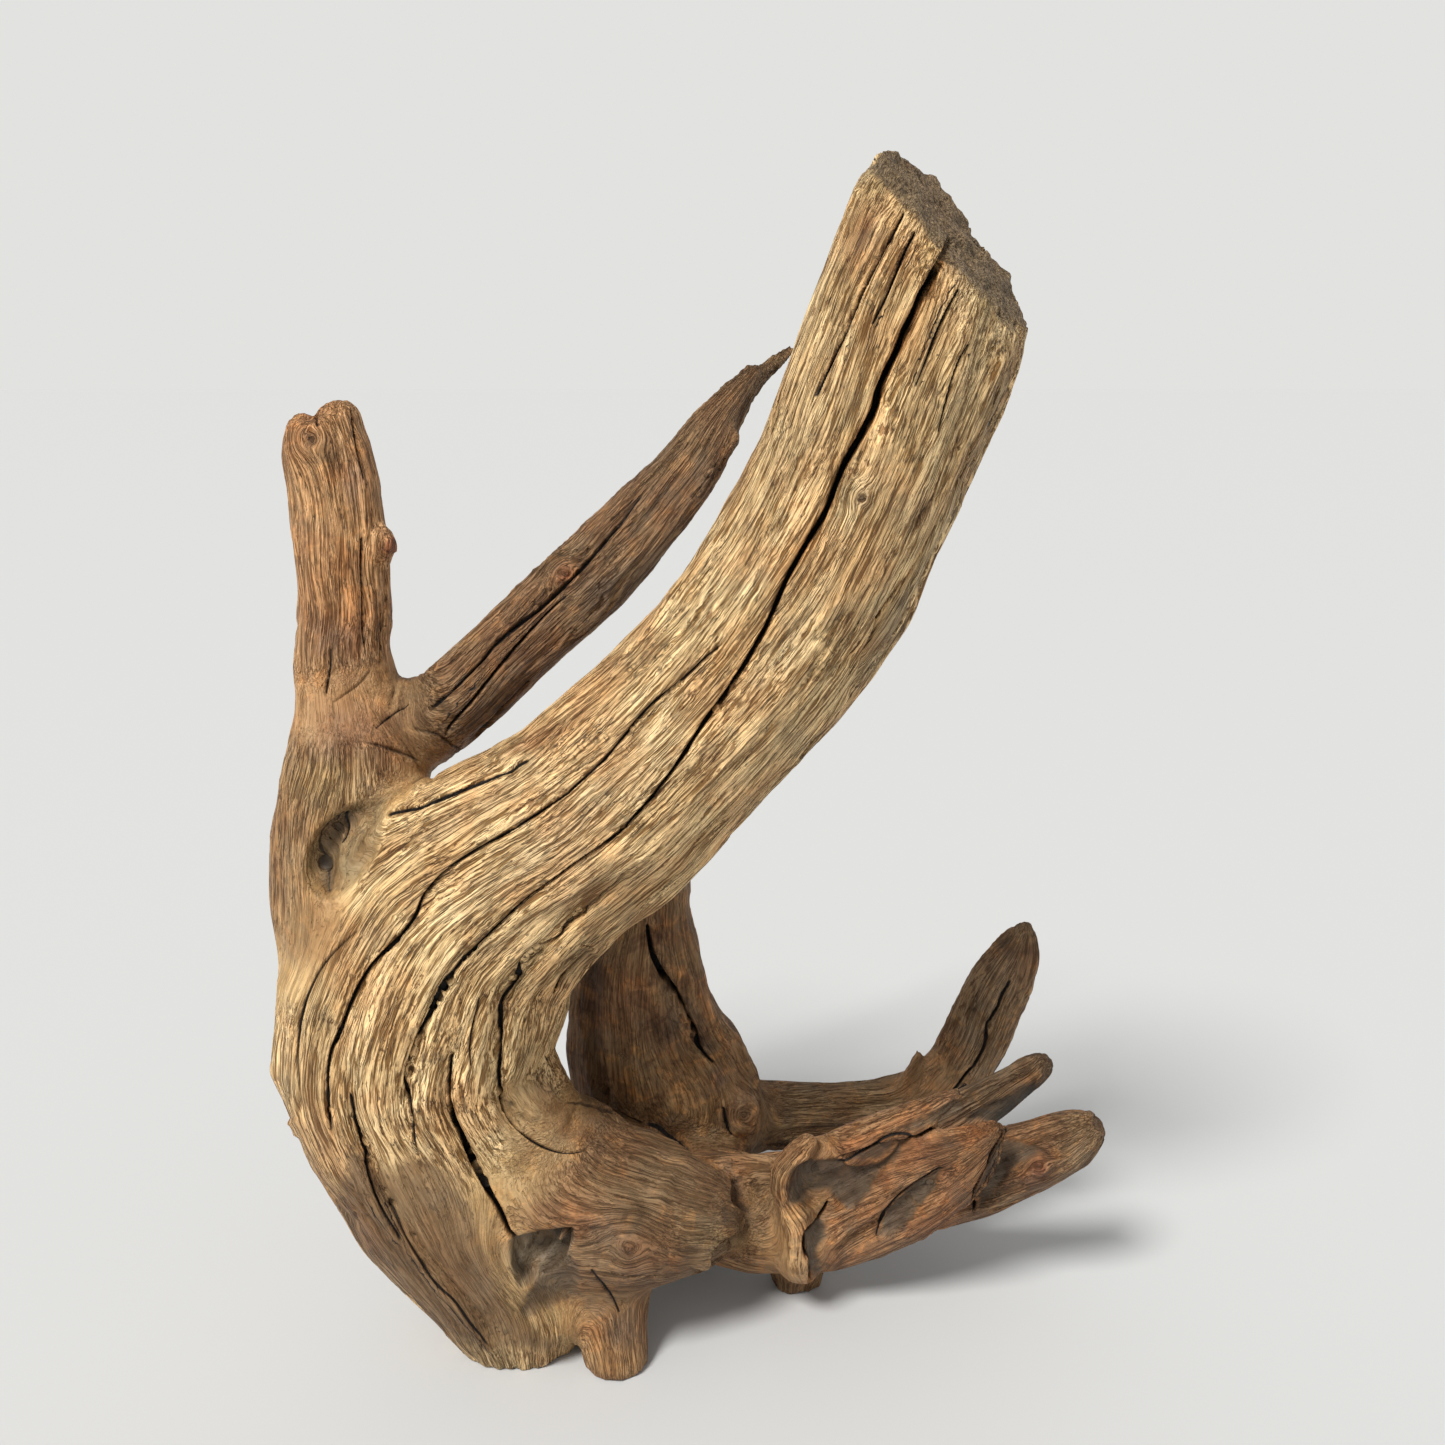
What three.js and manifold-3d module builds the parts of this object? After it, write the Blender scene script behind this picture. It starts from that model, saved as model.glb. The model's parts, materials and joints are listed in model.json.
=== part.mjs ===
// A large piece of driftwood standing on its roots. A flattened trunk rises from a toe, swings left,
// then leans up to the right and ends in a slanting break. A short stub and a slender branch grow from
// its shoulder. A rear root drops from its back to a knotted root crown, and two arms spread from there
// to the right and end in upturned prongs.
// Units are millimetres. X runs right, Y runs away from the viewer and Z runs up from the floor.
import * as THREE from 'three';
import { ImprovedNoise } from 'three/addons/math/ImprovedNoise.js';
import { mergeVertices } from 'three/addons/utils/BufferGeometryUtils.js';
import Module from 'manifold-3d';

// Driving dimensions
const SAW_GAP = 0.3; // space left between two pieces where the wood is divided at a fork
const MIDDLE = new THREE.Vector3(-16, -1, 0); // middle of the footprint, which becomes the origin
const FLOOR_SIZE = 900; // width of the block that trims the feet flat
const FLOOR_DEPTH = 60; // how far that block reaches below the floor
const PROBE_SIZE = 4; // side of the small block that tells which piece is which
const LEAST_HALF = 2; // no limb gets thinner than this to either side
const CORNER_SPACE = 0.8; // least angle between two corners of a section, in degrees

// Each limb is a log bent along a line. A station is
// [x, y, z, half its width seen from the front, half its depth], from the root end to the tip.
// A fold runs along the limb: [half angle, depth, [station, angle], ...]. Stations count from 0.
// Angle 0 is the right side, 90 the back, 180 the left and -90 the front.
const LIMBS = {
  trunk: {
    around: 15,
    rings: 25,
    lumps: 2.2,
    slant: [-0.5, 0.2],
    rough: 3,
    folds: [
      [5, 5, [3, -134], [4.5, -136], [6, -126]],
      [4, 6, [3.5, -120], [4.5, -117], [5.5, -113], [6.2, -110], [7.1, -117], [9, -119], [12, -113]],
      [5, 8, [0.4, -92], [1.6, -105], [2.6, -114], [3.4, -110], [4.6, -104]],
      [2.6, 13, [3, -91], [4.2, -85], [6, -84], [8.6, -84], [10, -92], [13.3, -99], [17, -92]],
      [4, 10, [1.6, -66], [2.4, -70], [4.2, -70], [5.2, -72]],
      [4, 10, [2.3, -25], [3, -45], [4.7, -50], [5.9, -59], [7.1, -62], [8.6, -63]],
      [6, 7, [5.6, -36], [7.2, -41]],
      [5, 5, [9.2, -24], [11.1, -21], [12.8, -14], [16, -12]],
      [4, 4, [14, -134], [15.6, -134], [17, -126]],
      [6, 6, [1, 40], [6, 34], [10, 28]],
      [5, 8, [0, 76], [5, 84], [8, 84], [12, 72]],
      [6, 6, [7, 120], [12, 116], [16, 110]],
    ],
    stations: [
      [-106, -8, -12, 28, 29],
      [-112, -11, 35, 50, 41],
      [-126, -9, 78, 66, 46],
      [-143, -8, 119, 70, 49],
      [-158, -8, 160, 72, 51],
      [-148, -12, 205, 72, 51],
      [-127, -18, 245, 67, 48],
      [-95, -24, 274, 59, 45],
      [-63, -30, 299, 54, 42],
      [-34, -36, 326, 52, 39],
      [-8, -42, 354, 48, 37],
      [16, -47, 383, 48, 36],
      [35, -54, 413, 47, 35],
      [50, -60, 444, 46, 35],
      [62, -66, 475, 45, 35],
      [72, -73, 505, 44, 35],
      [83, -79, 534, 45, 35],
      [92, -84, 557, 44, 33],
    ],
  },
  shoulder: {
    around: 14,
    rings: 7,
    lumps: 2.5,
    folds: [],
    stations: [
      [-166, -6, 185, 42, 36],
      [-178, -4, 225, 47, 40],
      [-185, -2, 262, 41, 41],
      [-184, 0, 290, 37, 37],
      [-179, 4, 318, 35, 31],
      [-180, 8, 340, 31, 26],
      [-183, 9, 357, 22, 22],
    ],
  },
  upright_stub: {
    around: 10,
    rings: 9,
    lumps: 1.4,
    rough: 2,
    folds: [
      [7, 3, [0, -70], [5, -78]],
      [7, 4, [0, -28], [6, -20]],
      [8, 4, [1, 95], [7, 80]],
    ],
    stations: [
      [-183, 7, 338, 28, 26],
      [-184, 9, 360, 25, 24],
      [-185, 10, 375, 23, 22],
      [-183, 11, 393, 23, 22],
      [-184, 13, 412, 23, 21],
      [-184, 15, 430, 23, 20],
      [-186, 17, 449, 23, 19],
      [-189, 19, 466, 22, 18],
      [-191, 20, 480, 19, 16],
    ],
  },
  slender_branch: {
    around: 8,
    rings: 13,
    lumps: 1.3,
    folds: [
      [8, 4, [0.4, -66], [2.7, -84], [4.6, -88], [7, -90]],
      [8, 5, [0.8, -92], [3.2, -114], [4.4, -116], [6.5, -122]],
      [8, 4, [1, 40], [7, 60]],
      [8, 4, [1, 130], [8, 120]],
    ],
    stations: [
      [-158, 10, 330, 24, 24],
      [-130, 20, 346, 22, 22],
      [-110, 25, 365, 22, 21],
      [-89, 30, 383, 22, 19],
      [-68, 35, 401, 22, 17],
      [-49, 40, 421, 21, 15],
      [-31, 45, 441, 18, 13],
      [-13, 50, 462, 16, 11],
      [3, 55, 485, 10, 8],
      [18, 59, 504, 5, 5],
    ],
  },
  branch_splinter: {
    around: 6,
    rings: 5,
    lumps: 0.5,
    folds: [],
    stations: [
      [-16, 56, 462, 7, 7],
      [5, 64, 485, 6, 5],
      [21, 68, 502, 5, 4],
      [35, 70, 513, 3, 3],
    ],
  },
  branch_flake: {
    around: 6,
    rings: 5,
    lumps: 0.5,
    folds: [],
    stations: [
      [-43, 38, 412, 9, 9],
      [-16, 42, 443, 8, 6],
      [0, 45, 464, 6, 4],
      [8, 46, 474, 3, 3],
    ],
  },
  rear_root: {
    around: 11,
    rings: 13,
    lumps: 2.2,
    folds: [
      [6, 8, [1.4, -92], [3, -112], [4.3, -127], [5.4, -134]],
      [8, 5, [2, -40], [5, -52], [7, -60]],
      [8, 5, [1, 60], [8, 50]],
      [8, 5, [2, 110], [9, 120]],
    ],
    stations: [
      [-45, -10, 285, 24, 20],
      [-40, 20, 258, 24, 21],
      [-41, 30, 231, 26, 22],
      [-44, 38, 202, 35, 23],
      [-45, 45, 172, 39, 24],
      [-42, 52, 143, 47, 27],
      [-34, 60, 113, 53, 31],
      [-26, 68, 74, 52, 34],
      [-36, 82, 35, 37, 28],
      [-41, 90, -8, 20, 18],
    ],
  },
  burl: {
    around: 14,
    rings: 8,
    lumps: 2.5,
    folds: [],
    stations: [
      [-150, -4, 132, 36, 36],
      [-128, -4, 112, 46, 42],
      [-102, -8, 92, 51, 47],
      [-66, -11, 78, 49, 47],
      [-38, -8, 73, 38, 41],
      [-14, -3, 66, 29, 31],
      [0, 1, 62, 21, 22],
      [7, 2, 60, 9, 10],
    ],
  },
  nub: {
    around: 9,
    rings: 4,
    lumps: 1.6,
    folds: [],
    stations: [
      [-62, -14, 52, 30, 28],
      [-59, -26, 28, 21, 20],
      [-56, -33, 8, 18, 18],
      [-55, -34, -8, 17, 17],
    ],
  },
  toe_web: {
    around: 8,
    rings: 3,
    lumps: 1.5,
    folds: [],
    stations: [
      [-118, -14, 40, 22, 26],
      [-92, -18, 33, 24, 26],
      [-68, -22, 34, 22, 24],
    ],
  },
  front_root: {
    around: 11,
    rings: 11,
    lumps: 2,
    folds: [
      [7, 6, [3, -70], [5, -84], [7.5, -92]],
      [8, 5, [1, 70], [4, 60]],
    ],
    stations: [
      [-24, 20, 60, 32, 28],
      [5, 20, 56, 33, 27],
      [30, 19, 53, 35, 27],
      [50, 19, 55, 36, 26],
      [70, 15, 62, 35, 22],
      [92, 7, 77, 33, 16],
      [110, -1, 90, 29, 11],
      [124, -6, 101, 23, 8],
      [136, -9, 113, 14, 6],
      [145, -9, 122, 5, 4],
    ],
  },
  arm_foot: {
    around: 10,
    rings: 4,
    lumps: 1.4,
    folds: [],
    stations: [
      [40, 24, 48, 28, 22],
      [41, 30, 20, 19, 15],
      [42, 32, -7, 13, 12],
    ],
  },
  crown_curl: {
    around: 6,
    rings: 7,
    lumps: 0.8,
    folds: [],
    stations: [
      [48, -2, 112, 5, 6],
      [38, -7, 105, 7, 7],
      [32, -9, 95, 8, 8],
      [34, -10, 83, 8, 8],
      [40, -10, 68, 9, 9],
      [41, -7, 48, 11, 10],
      [42, 4, 28, 13, 10],
    ],
  },
  upper_flake: {
    around: 7,
    rings: 6,
    lumps: 0.8,
    folds: [],
    stations: [
      [38, 8, 84, 12, 13],
      [52, 5, 95, 13, 12],
      [73, 1, 108, 12, 10],
      [95, -2, 121, 10, 8],
      [111, -3, 131, 8, 5],
      [124, -2, 139, 4, 3],
    ],
  },
  low_prong: {
    around: 12,
    rings: 10,
    lumps: 1.5,
    folds: [
      [9, 4, [1, -80], [5, -70]],
      [9, 3, [1, 100], [5, 95]],
    ],
    stations: [
      [88, 33, 58, 24, 18],
      [114, 29, 63, 25, 18],
      [131, 25, 70, 24, 17],
      [147, 20, 79, 23, 16],
      [171, 13, 94, 20, 14],
      [188, 9, 107, 16, 12],
      [199, 6, 116, 9, 7],
    ],
  },
  middle_prong: {
    around: 10,
    rings: 8,
    lumps: 1.2,
    folds: [],
    stations: [
      [90, 46, 60, 17, 13],
      [118, 60, 77, 17, 11],
      [143, 60, 93, 15, 10],
      [162, 59, 108, 12, 9],
      [177, 56, 122, 10, 8],
      [182, 54, 129, 6, 5],
    ],
  },
  back_root: {
    around: 10,
    rings: 8,
    lumps: 1.6,
    folds: [
      [9, 3, [1, -85], [5, -95]],
      [9, 4, [1, 90], [5, 85]],
    ],
    stations: [
      [-20, 70, 84, 26, 24],
      [10, 76, 80, 23, 21],
      [40, 86, 75, 20, 17],
      [70, 95, 71, 19, 15],
      [100, 98, 73, 19, 14],
      [120, 98, 80, 19, 13],
      [136, 97, 96, 16, 12],
    ],
  },
  back_prong: {
    around: 9,
    rings: 9,
    lumps: 1.2,
    rough: 2,
    folds: [
      [9, 4, [0.6, -95], [4.6, -80]],
      [9, 3, [1, 95], [5, 90]],
    ],
    stations: [
      [108, 98, 66, 15, 12],
      [123, 98, 80, 20, 12],
      [138, 97, 97, 21, 11],
      [149, 96, 118, 21, 10],
      [157, 94, 143, 21, 9],
      [166, 91, 168, 18, 8],
      [171, 88, 186, 12, 6],
      [173, 86, 197, 4, 4],
    ],
  },
  back_splinter: {
    around: 6,
    rings: 3,
    lumps: 0.5,
    folds: [],
    stations: [
      [104, 96, 72, 9, 9],
      [111, 92, 96, 6, 6],
      [116, 90, 114, 3, 3],
    ],
  },
};

// Rounded knots that stand out: [x, y, z, half width, half depth, half height, tilt to the right].
const KNOTS = [
  [-200, 21, 475, 8, 10, 10, 0],
  [-182, 20, 478, 11, 12, 13, 8],
  [-163, 9, 423, 6, 8, 9, 0],
  [-226, -4, 120, 8, 10, 8, 0],
  [5, 50, 99, 16, 14, 19, 0],
];

// Pits sunk into the wood, each with a plug of wood left standing in it, in the same form as the knots.
const PITS = [
  { hollow: [-178, -44, 287, 15, 16, 29, 41], plug: [-173, -30, 284, 11, 11, 23, 41] },
  { hollow: [-90, -60, 78, 15, 16, 13, -30], plug: [-96, -42, 72, 7, 8, 6, 0] },
];

// Where the wood is divided: a point on the cut, the way the outer piece leaves it, and how far the
// cut reaches across the limb and in depth.
const FORKS = [
  { at: [-185, 9, 362], facing: [0, 0.08, 1], reach: [34, 32] },
  { at: [-122, 22, 354], facing: [0.71, 0.18, 0.68], reach: [28, 28] },
  { at: [-41, 29, 234], facing: [-0.03, 0.35, -0.94], reach: [33, 31] },
  { at: [-30, 12, 70], facing: [0.566, 0.825, 0], reach: [105, 100] },
  { at: [23, 48, 66], facing: [1, 0, 0], reach: [90, 90] },
  { at: [126, 26, 68], facing: [0.9, -0.19, 0.4], reach: [29, 21] },
  { at: [123, 61, 80], facing: [0.84, 0, 0.53], reach: [21, 16] },
];

// One point well inside each piece, which gives the piece its name.
const PIECES = {
  trunk: { inside: [16, -47, 383], colour: 0xb08a58 },
  upright_stub: { inside: [-184, 15, 430], colour: 0x9a6d42 },
  slender_branch: { inside: [-68, 35, 401], colour: 0x8e683f },
  rear_root: { inside: [-42, 45, 172], colour: 0x6f4c30 },
  front_root: { inside: [50, 19, 55], colour: 0x8a5c38 },
  low_prong: { inside: [171, 13, 94], colour: 0x8c6038 },
  middle_prong: { inside: [162, 58, 108], colour: 0x7d5836 },
  back_root: { inside: [157, 94, 143], colour: 0x655039 },
};

const wasm = await Module();
wasm.setup();
const noise = new ImprovedNoise();
const { degToRad, smoothstep } = THREE.MathUtils;
const AWAY = new THREE.Vector3(0, 1, 0);
const UP = new THREE.Vector3(0, 0, 1);

// A closed mesh as a solid that can be joined and cut.
function solidOf(geometry) {
  const bare = geometry.clone().deleteAttribute('normal').deleteAttribute('uv');
  const merged = mergeVertices(bare, 1e-4);
  return new wasm.Manifold(
    new wasm.Mesh({
      numProp: 3,
      vertProperties: new Float32Array(merged.attributes.position.array),
      triVerts: new Uint32Array(merged.index.array),
    }),
  );
}

// The solid back as a mesh's geometry.
function geometryOf(solid) {
  const mesh = solid.getMesh();
  const geometry = new THREE.BufferGeometry();
  geometry.setAttribute('position', new THREE.BufferAttribute(mesh.vertProperties, 3));
  geometry.setIndex(new THREE.BufferAttribute(mesh.triVerts, 1));
  geometry.computeVertexNormals();
  return geometry;
}

// The angle of a fold at a place along its limb.
function foldAngle([, , ...path], place) {
  const next = path.findIndex(([station]) => station >= place);
  if (next === 0) return path[0][1];
  if (next < 0) return path[path.length - 1][1];
  const [from, a] = path[next - 1];
  const [to, b] = path[next];
  return a + ((b - a) * (place - from)) / (to - from);
}

// How deep a fold is at a place along its limb. It fades out at both ends.
function foldDepth([, depth, ...path], place) {
  const first = path[0][0];
  const last = path[path.length - 1][0];
  const fade = Math.min(1, (last - first) / 3);
  return depth * smoothstep(place, first, first + fade) * (1 - smoothstep(place, last - fade, last));
}

// The corners of a limb's section: three at each fold and even ones between the folds.
function sectionCorners({ around, folds, stations }) {
  const even = 360 / around;
  if (folds.length === 0) {
    return Array.from({ length: around }, (_, k) => ({ angle: () => -180 + k * even, fold: null }));
  }
  const half = (stations.length - 1) / 2;
  const sorted = [...folds].sort((a, b) => foldAngle(a, half) - foldAngle(b, half));
  return sorted.flatMap((fold, k) => {
    const after = sorted[(k + 1) % sorted.length];
    const turn = k + 1 === sorted.length ? 360 : 0;
    const width = fold[0];
    const start = (place) => foldAngle(fold, place) + width;
    const space = (place) => foldAngle(after, place) + turn - after[0] - start(place);
    const count = Math.max(0, Math.round(space(half) / even) - 1);
    const between = Array.from({ length: count }, (_, n) => ({
      angle: (place) => start(place) + (space(place) * (n + 1)) / (count + 1),
      fold: null,
    }));
    return [
      { angle: (place) => foldAngle(fold, place) - width, fold: null },
      { angle: (place) => foldAngle(fold, place), fold },
      { angle: start, fold: null },
      ...between,
    ];
  });
}

// The corners' angles at one place, kept in order where two folds come close.
function anglesAt(corners, place) {
  let least = -Infinity;
  return corners.map((corner) => {
    least = Math.max(corner.angle(place), least + CORNER_SPACE);
    return least;
  });
}

// A straight log of radius 1 from height 0 to 1, bent along the stations.
function bentLog(limb, seed) {
  const { rings, lumps, slant = [0, 0], rough = 0, stations } = limb;
  const corners = sectionCorners(limb);
  const profile = [[0, 0], [0.6, 0]];
  for (let k = 0; k <= rings; k += 1) profile.push([k < rings ? 1 : 0.92, k / rings]);
  profile.push([0.55, 1], [0, 1]);
  const log = new THREE.LatheGeometry(
    profile.map(([r, h]) => new THREE.Vector2(r, h)),
    corners.length,
  );

  const line = new THREE.CatmullRomCurve3(stations.map(([x, y, z]) => new THREE.Vector3(x, y, z)));
  const halves = new THREE.SplineCurve(stations.map((s) => new THREE.Vector2(s[3], s[4])));
  const last = stations.length - 1;
  const spot = log.attributes.position;
  for (let i = 0; i < spot.count; i += 1) {
    const column = Math.floor(i / profile.length) % corners.length;
    const share = Math.hypot(spot.getX(i), spot.getZ(i));
    const u = spot.getY(i);
    const place = u * last;
    const middle = line.getPoint(u);
    const along = line.getTangent(u);
    const side = new THREE.Vector3().crossVectors(AWAY, along).normalize();
    const depth = new THREE.Vector3().crossVectors(along, side);
    const half = halves.getPoint(u);
    const turn = degToRad(anglesAt(corners, place)[column]);
    const bump = noise.noise(1.3 * Math.cos(turn) + seed, 1.3 * Math.sin(turn) - seed, place * 0.8);
    const { fold } = corners[column];
    const swell = lumps * bump - (fold ? foldDepth(fold, place) : 0);
    const across = Math.cos(turn) * share * Math.max(LEAST_HALF, half.x + swell);
    const back = Math.sin(turn) * share * Math.max(LEAST_HALF, half.y + swell);
    const end = smoothstep(u, 0.8, 1);
    const chip = u > 0.999 ? rough * noise.noise(across / 9, back / 9, seed) : 0;
    const lean = end * (slant[0] * across + slant[1] * back) + chip;
    middle.addScaledVector(side, across).addScaledVector(depth, back).addScaledVector(along, lean);
    spot.setXYZ(i, middle.x, middle.y, middle.z);
  }
  return solidOf(log);
}

// A faceted egg shape, used for knots and pits.
function egg([x, y, z, width, depth, height, tilt]) {
  const ball = new THREE.SphereGeometry(1, 10, 6);
  ball.scale(width, depth, height).rotateY(degToRad(tilt)).translate(x, y, z);
  return solidOf(ball);
}

// A thin slice across a fork.
function sawCut({ at, facing, reach }) {
  const slice = new THREE.CylinderGeometry(1, 1, SAW_GAP, 20);
  const along = new THREE.Vector3(...facing).normalize();
  const across = new THREE.Vector3().crossVectors(Math.abs(along.y) > 0.7 ? UP : AWAY, along);
  const depth = new THREE.Vector3().crossVectors(along, across.normalize());
  const turn = new THREE.Matrix4().makeBasis(depth, along, across);
  slice.scale(reach[1], 1, reach[0]).applyMatrix4(turn).translate(...at);
  return solidOf(slice);
}

const limbs = Object.values(LIMBS).map((limb, k) => bentLog(limb, 3.7 * (k + 1)));
let wood = limbs.reduce((whole, limb) => whole.add(limb));
for (const knot of KNOTS) wood = wood.add(egg(knot));
for (const { hollow, plug } of PITS) wood = wood.subtract(egg(hollow)).add(egg(plug));
const floor = new THREE.BoxGeometry(FLOOR_SIZE, FLOOR_SIZE, FLOOR_DEPTH);
wood = wood.subtract(solidOf(floor.translate(0, 0, -FLOOR_DEPTH / 2)));
for (const fork of FORKS) wood = wood.subtract(sawCut(fork));

const loose = wood.decompose();
const driftwood = new THREE.Group();
for (const [name, { inside, colour }] of Object.entries(PIECES)) {
  const probe = solidOf(new THREE.BoxGeometry(PROBE_SIZE, PROBE_SIZE, PROBE_SIZE).translate(...inside));
  const piece = loose.find((solid) => !solid.intersect(probe).isEmpty());
  const material = new THREE.MeshStandardMaterial({ color: colour, roughness: 0.85, metalness: 0 });
  const mesh = new THREE.Mesh(geometryOf(piece), material);
  mesh.name = name;
  driftwood.add(mesh);
}
driftwood.position.copy(MIDDLE).negate();

export default driftwood;
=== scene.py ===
# Branching driftwood: its skin, grain, checks and colour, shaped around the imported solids.

import bpy
import bmesh
import json
import math
import numpy as np
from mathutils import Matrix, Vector

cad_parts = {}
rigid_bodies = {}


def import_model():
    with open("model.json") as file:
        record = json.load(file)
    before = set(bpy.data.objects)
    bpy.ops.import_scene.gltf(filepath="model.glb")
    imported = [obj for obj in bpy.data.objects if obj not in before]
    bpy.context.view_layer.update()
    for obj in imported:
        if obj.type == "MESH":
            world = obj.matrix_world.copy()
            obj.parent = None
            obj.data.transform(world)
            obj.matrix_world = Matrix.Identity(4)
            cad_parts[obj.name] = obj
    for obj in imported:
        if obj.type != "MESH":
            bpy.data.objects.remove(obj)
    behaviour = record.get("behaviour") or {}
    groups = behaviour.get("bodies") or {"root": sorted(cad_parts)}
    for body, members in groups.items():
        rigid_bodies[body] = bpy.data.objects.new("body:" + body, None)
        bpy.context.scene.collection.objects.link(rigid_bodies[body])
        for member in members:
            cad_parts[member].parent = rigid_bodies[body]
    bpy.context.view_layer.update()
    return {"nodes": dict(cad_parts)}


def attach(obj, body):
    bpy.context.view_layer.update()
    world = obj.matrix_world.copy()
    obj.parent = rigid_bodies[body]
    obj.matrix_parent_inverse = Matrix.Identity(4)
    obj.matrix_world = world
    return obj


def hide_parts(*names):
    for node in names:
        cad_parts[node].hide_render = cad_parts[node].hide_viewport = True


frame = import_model()

# The camera stands in front of the wood and looks down at it. Features that are placed one by one
# count in picture points, across and down from the top left corner.
cameraSet = {
    "place": (0.016, -0.679, 0.520),
    "tiltDeg": 75.0,
    "lens": 36.05,
    "sensor": 36.0,
    "picture": 1445.0,
}
cameraPlace = np.array(cameraSet["place"]) * 1000
tilt = math.radians(90 - cameraSet["tiltDeg"])
lookDirection = np.array((0.0, math.cos(tilt), -math.sin(tilt)))
upDirection = np.array((0.0, math.sin(tilt), math.cos(tilt)))
pointsPerSlope = cameraSet["lens"] / cameraSet["sensor"] * cameraSet["picture"]

# The limbs' middle lines, in millimetres: x, y, z, half width, half depth. They lead the grain.
lineShift = np.array((16.0, 1.0, 0.0))
limbLines = {
    "trunk": [(-106, -8, -12, 28, 29), (-112, -11, 35, 50, 41), (-126, -9, 78, 66, 46),
        (-143, -8, 119, 70, 49), (-158, -8, 160, 72, 51), (-148, -12, 205, 72, 51),
        (-127, -18, 245, 67, 48), (-95, -24, 274, 59, 45), (-63, -30, 299, 54, 42),
        (-34, -36, 326, 52, 39), (-8, -42, 354, 48, 37), (16, -47, 383, 48, 36), (35, -54, 413, 47, 35),
        (50, -60, 444, 46, 35), (62, -66, 475, 45, 35), (72, -73, 505, 44, 35), (83, -79, 534, 45, 35),
        (92, -84, 557, 44, 33)],
    "shoulder": [(-166, -6, 185, 42, 36), (-178, -4, 225, 47, 40), (-185, -2, 262, 41, 41),
        (-184, 0, 290, 37, 37), (-179, 4, 318, 35, 31), (-180, 8, 340, 31, 26), (-183, 9, 357, 22, 22)],
    "stub": [(-183, 7, 338, 28, 26), (-184, 9, 360, 25, 24), (-185, 10, 375, 23, 22),
        (-183, 11, 393, 23, 22), (-184, 13, 412, 23, 21), (-184, 15, 430, 23, 20),
        (-186, 17, 449, 23, 19), (-189, 19, 466, 22, 18), (-191, 20, 480, 19, 16)],
    "branch": [(-158, 10, 330, 24, 24), (-130, 20, 346, 22, 22), (-110, 25, 365, 22, 21),
        (-89, 30, 383, 22, 19), (-68, 35, 401, 22, 17), (-49, 40, 421, 21, 15), (-31, 45, 441, 18, 13),
        (-13, 50, 462, 16, 11), (3, 55, 485, 10, 8), (18, 59, 504, 5, 5)],
    "rearRoot": [(-45, -10, 285, 24, 20), (-40, 20, 258, 24, 21), (-41, 30, 231, 26, 22),
        (-44, 38, 202, 35, 23), (-45, 45, 172, 39, 24), (-42, 52, 143, 47, 27), (-34, 60, 113, 53, 31),
        (-26, 68, 74, 52, 34), (-36, 82, 35, 37, 28), (-41, 90, -8, 20, 18)],
    "burl": [(-150, -4, 132, 36, 36), (-128, -4, 112, 46, 42), (-102, -8, 92, 51, 47),
        (-66, -11, 78, 49, 47), (-38, -8, 73, 38, 41), (-14, -3, 66, 29, 31), (0, 1, 62, 21, 22),
        (7, 2, 60, 9, 10)],
    "nub": [(-62, -14, 52, 30, 28), (-59, -26, 28, 21, 20), (-56, -33, 8, 18, 18),
        (-55, -34, -8, 17, 17)],
    "frontRoot": [(-24, 20, 60, 32, 28), (5, 20, 56, 33, 27), (30, 19, 53, 35, 27), (50, 19, 55, 36, 26),
        (70, 15, 62, 35, 22), (92, 7, 77, 33, 16), (110, -1, 90, 29, 11), (124, -6, 101, 23, 8),
        (136, -9, 113, 14, 6), (145, -9, 122, 5, 4)],
    "armFoot": [(40, 24, 48, 28, 22), (41, 30, 20, 19, 15), (42, 32, -7, 13, 12)],
    "crownCurl": [(48, -2, 112, 5, 6), (38, -7, 105, 7, 7), (32, -9, 95, 8, 8), (34, -10, 83, 8, 8),
        (40, -10, 68, 9, 9), (41, -7, 48, 11, 10), (42, 4, 28, 13, 10)],
    "upperFlake": [(38, 8, 84, 12, 13), (52, 5, 95, 13, 12), (73, 1, 108, 12, 10), (95, -2, 121, 10, 8),
        (111, -3, 131, 8, 5), (124, -2, 139, 4, 3)],
    "lowProng": [(88, 33, 58, 24, 18), (114, 29, 63, 25, 18), (131, 25, 70, 24, 17),
        (147, 20, 79, 23, 16), (171, 13, 94, 20, 14), (188, 9, 107, 16, 12), (199, 6, 116, 9, 7)],
    "middleProng": [(90, 46, 60, 17, 13), (118, 60, 77, 17, 11), (143, 60, 93, 15, 10),
        (162, 59, 108, 12, 9), (177, 56, 122, 10, 8), (182, 54, 129, 6, 5)],
    "backArm": [(-20, 70, 84, 26, 24), (10, 76, 80, 23, 21), (40, 86, 75, 20, 17), (70, 95, 71, 19, 15),
        (100, 98, 73, 19, 14), (120, 98, 80, 19, 13), (136, 97, 96, 16, 12)],
    "backProng": [(108, 98, 66, 15, 12), (123, 98, 80, 20, 12), (138, 97, 97, 21, 11),
        (149, 96, 118, 21, 10), (157, 94, 143, 21, 9), (166, 91, 168, 18, 8), (171, 88, 186, 12, 6),
        (173, 86, 197, 4, 4)],
}

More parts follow.
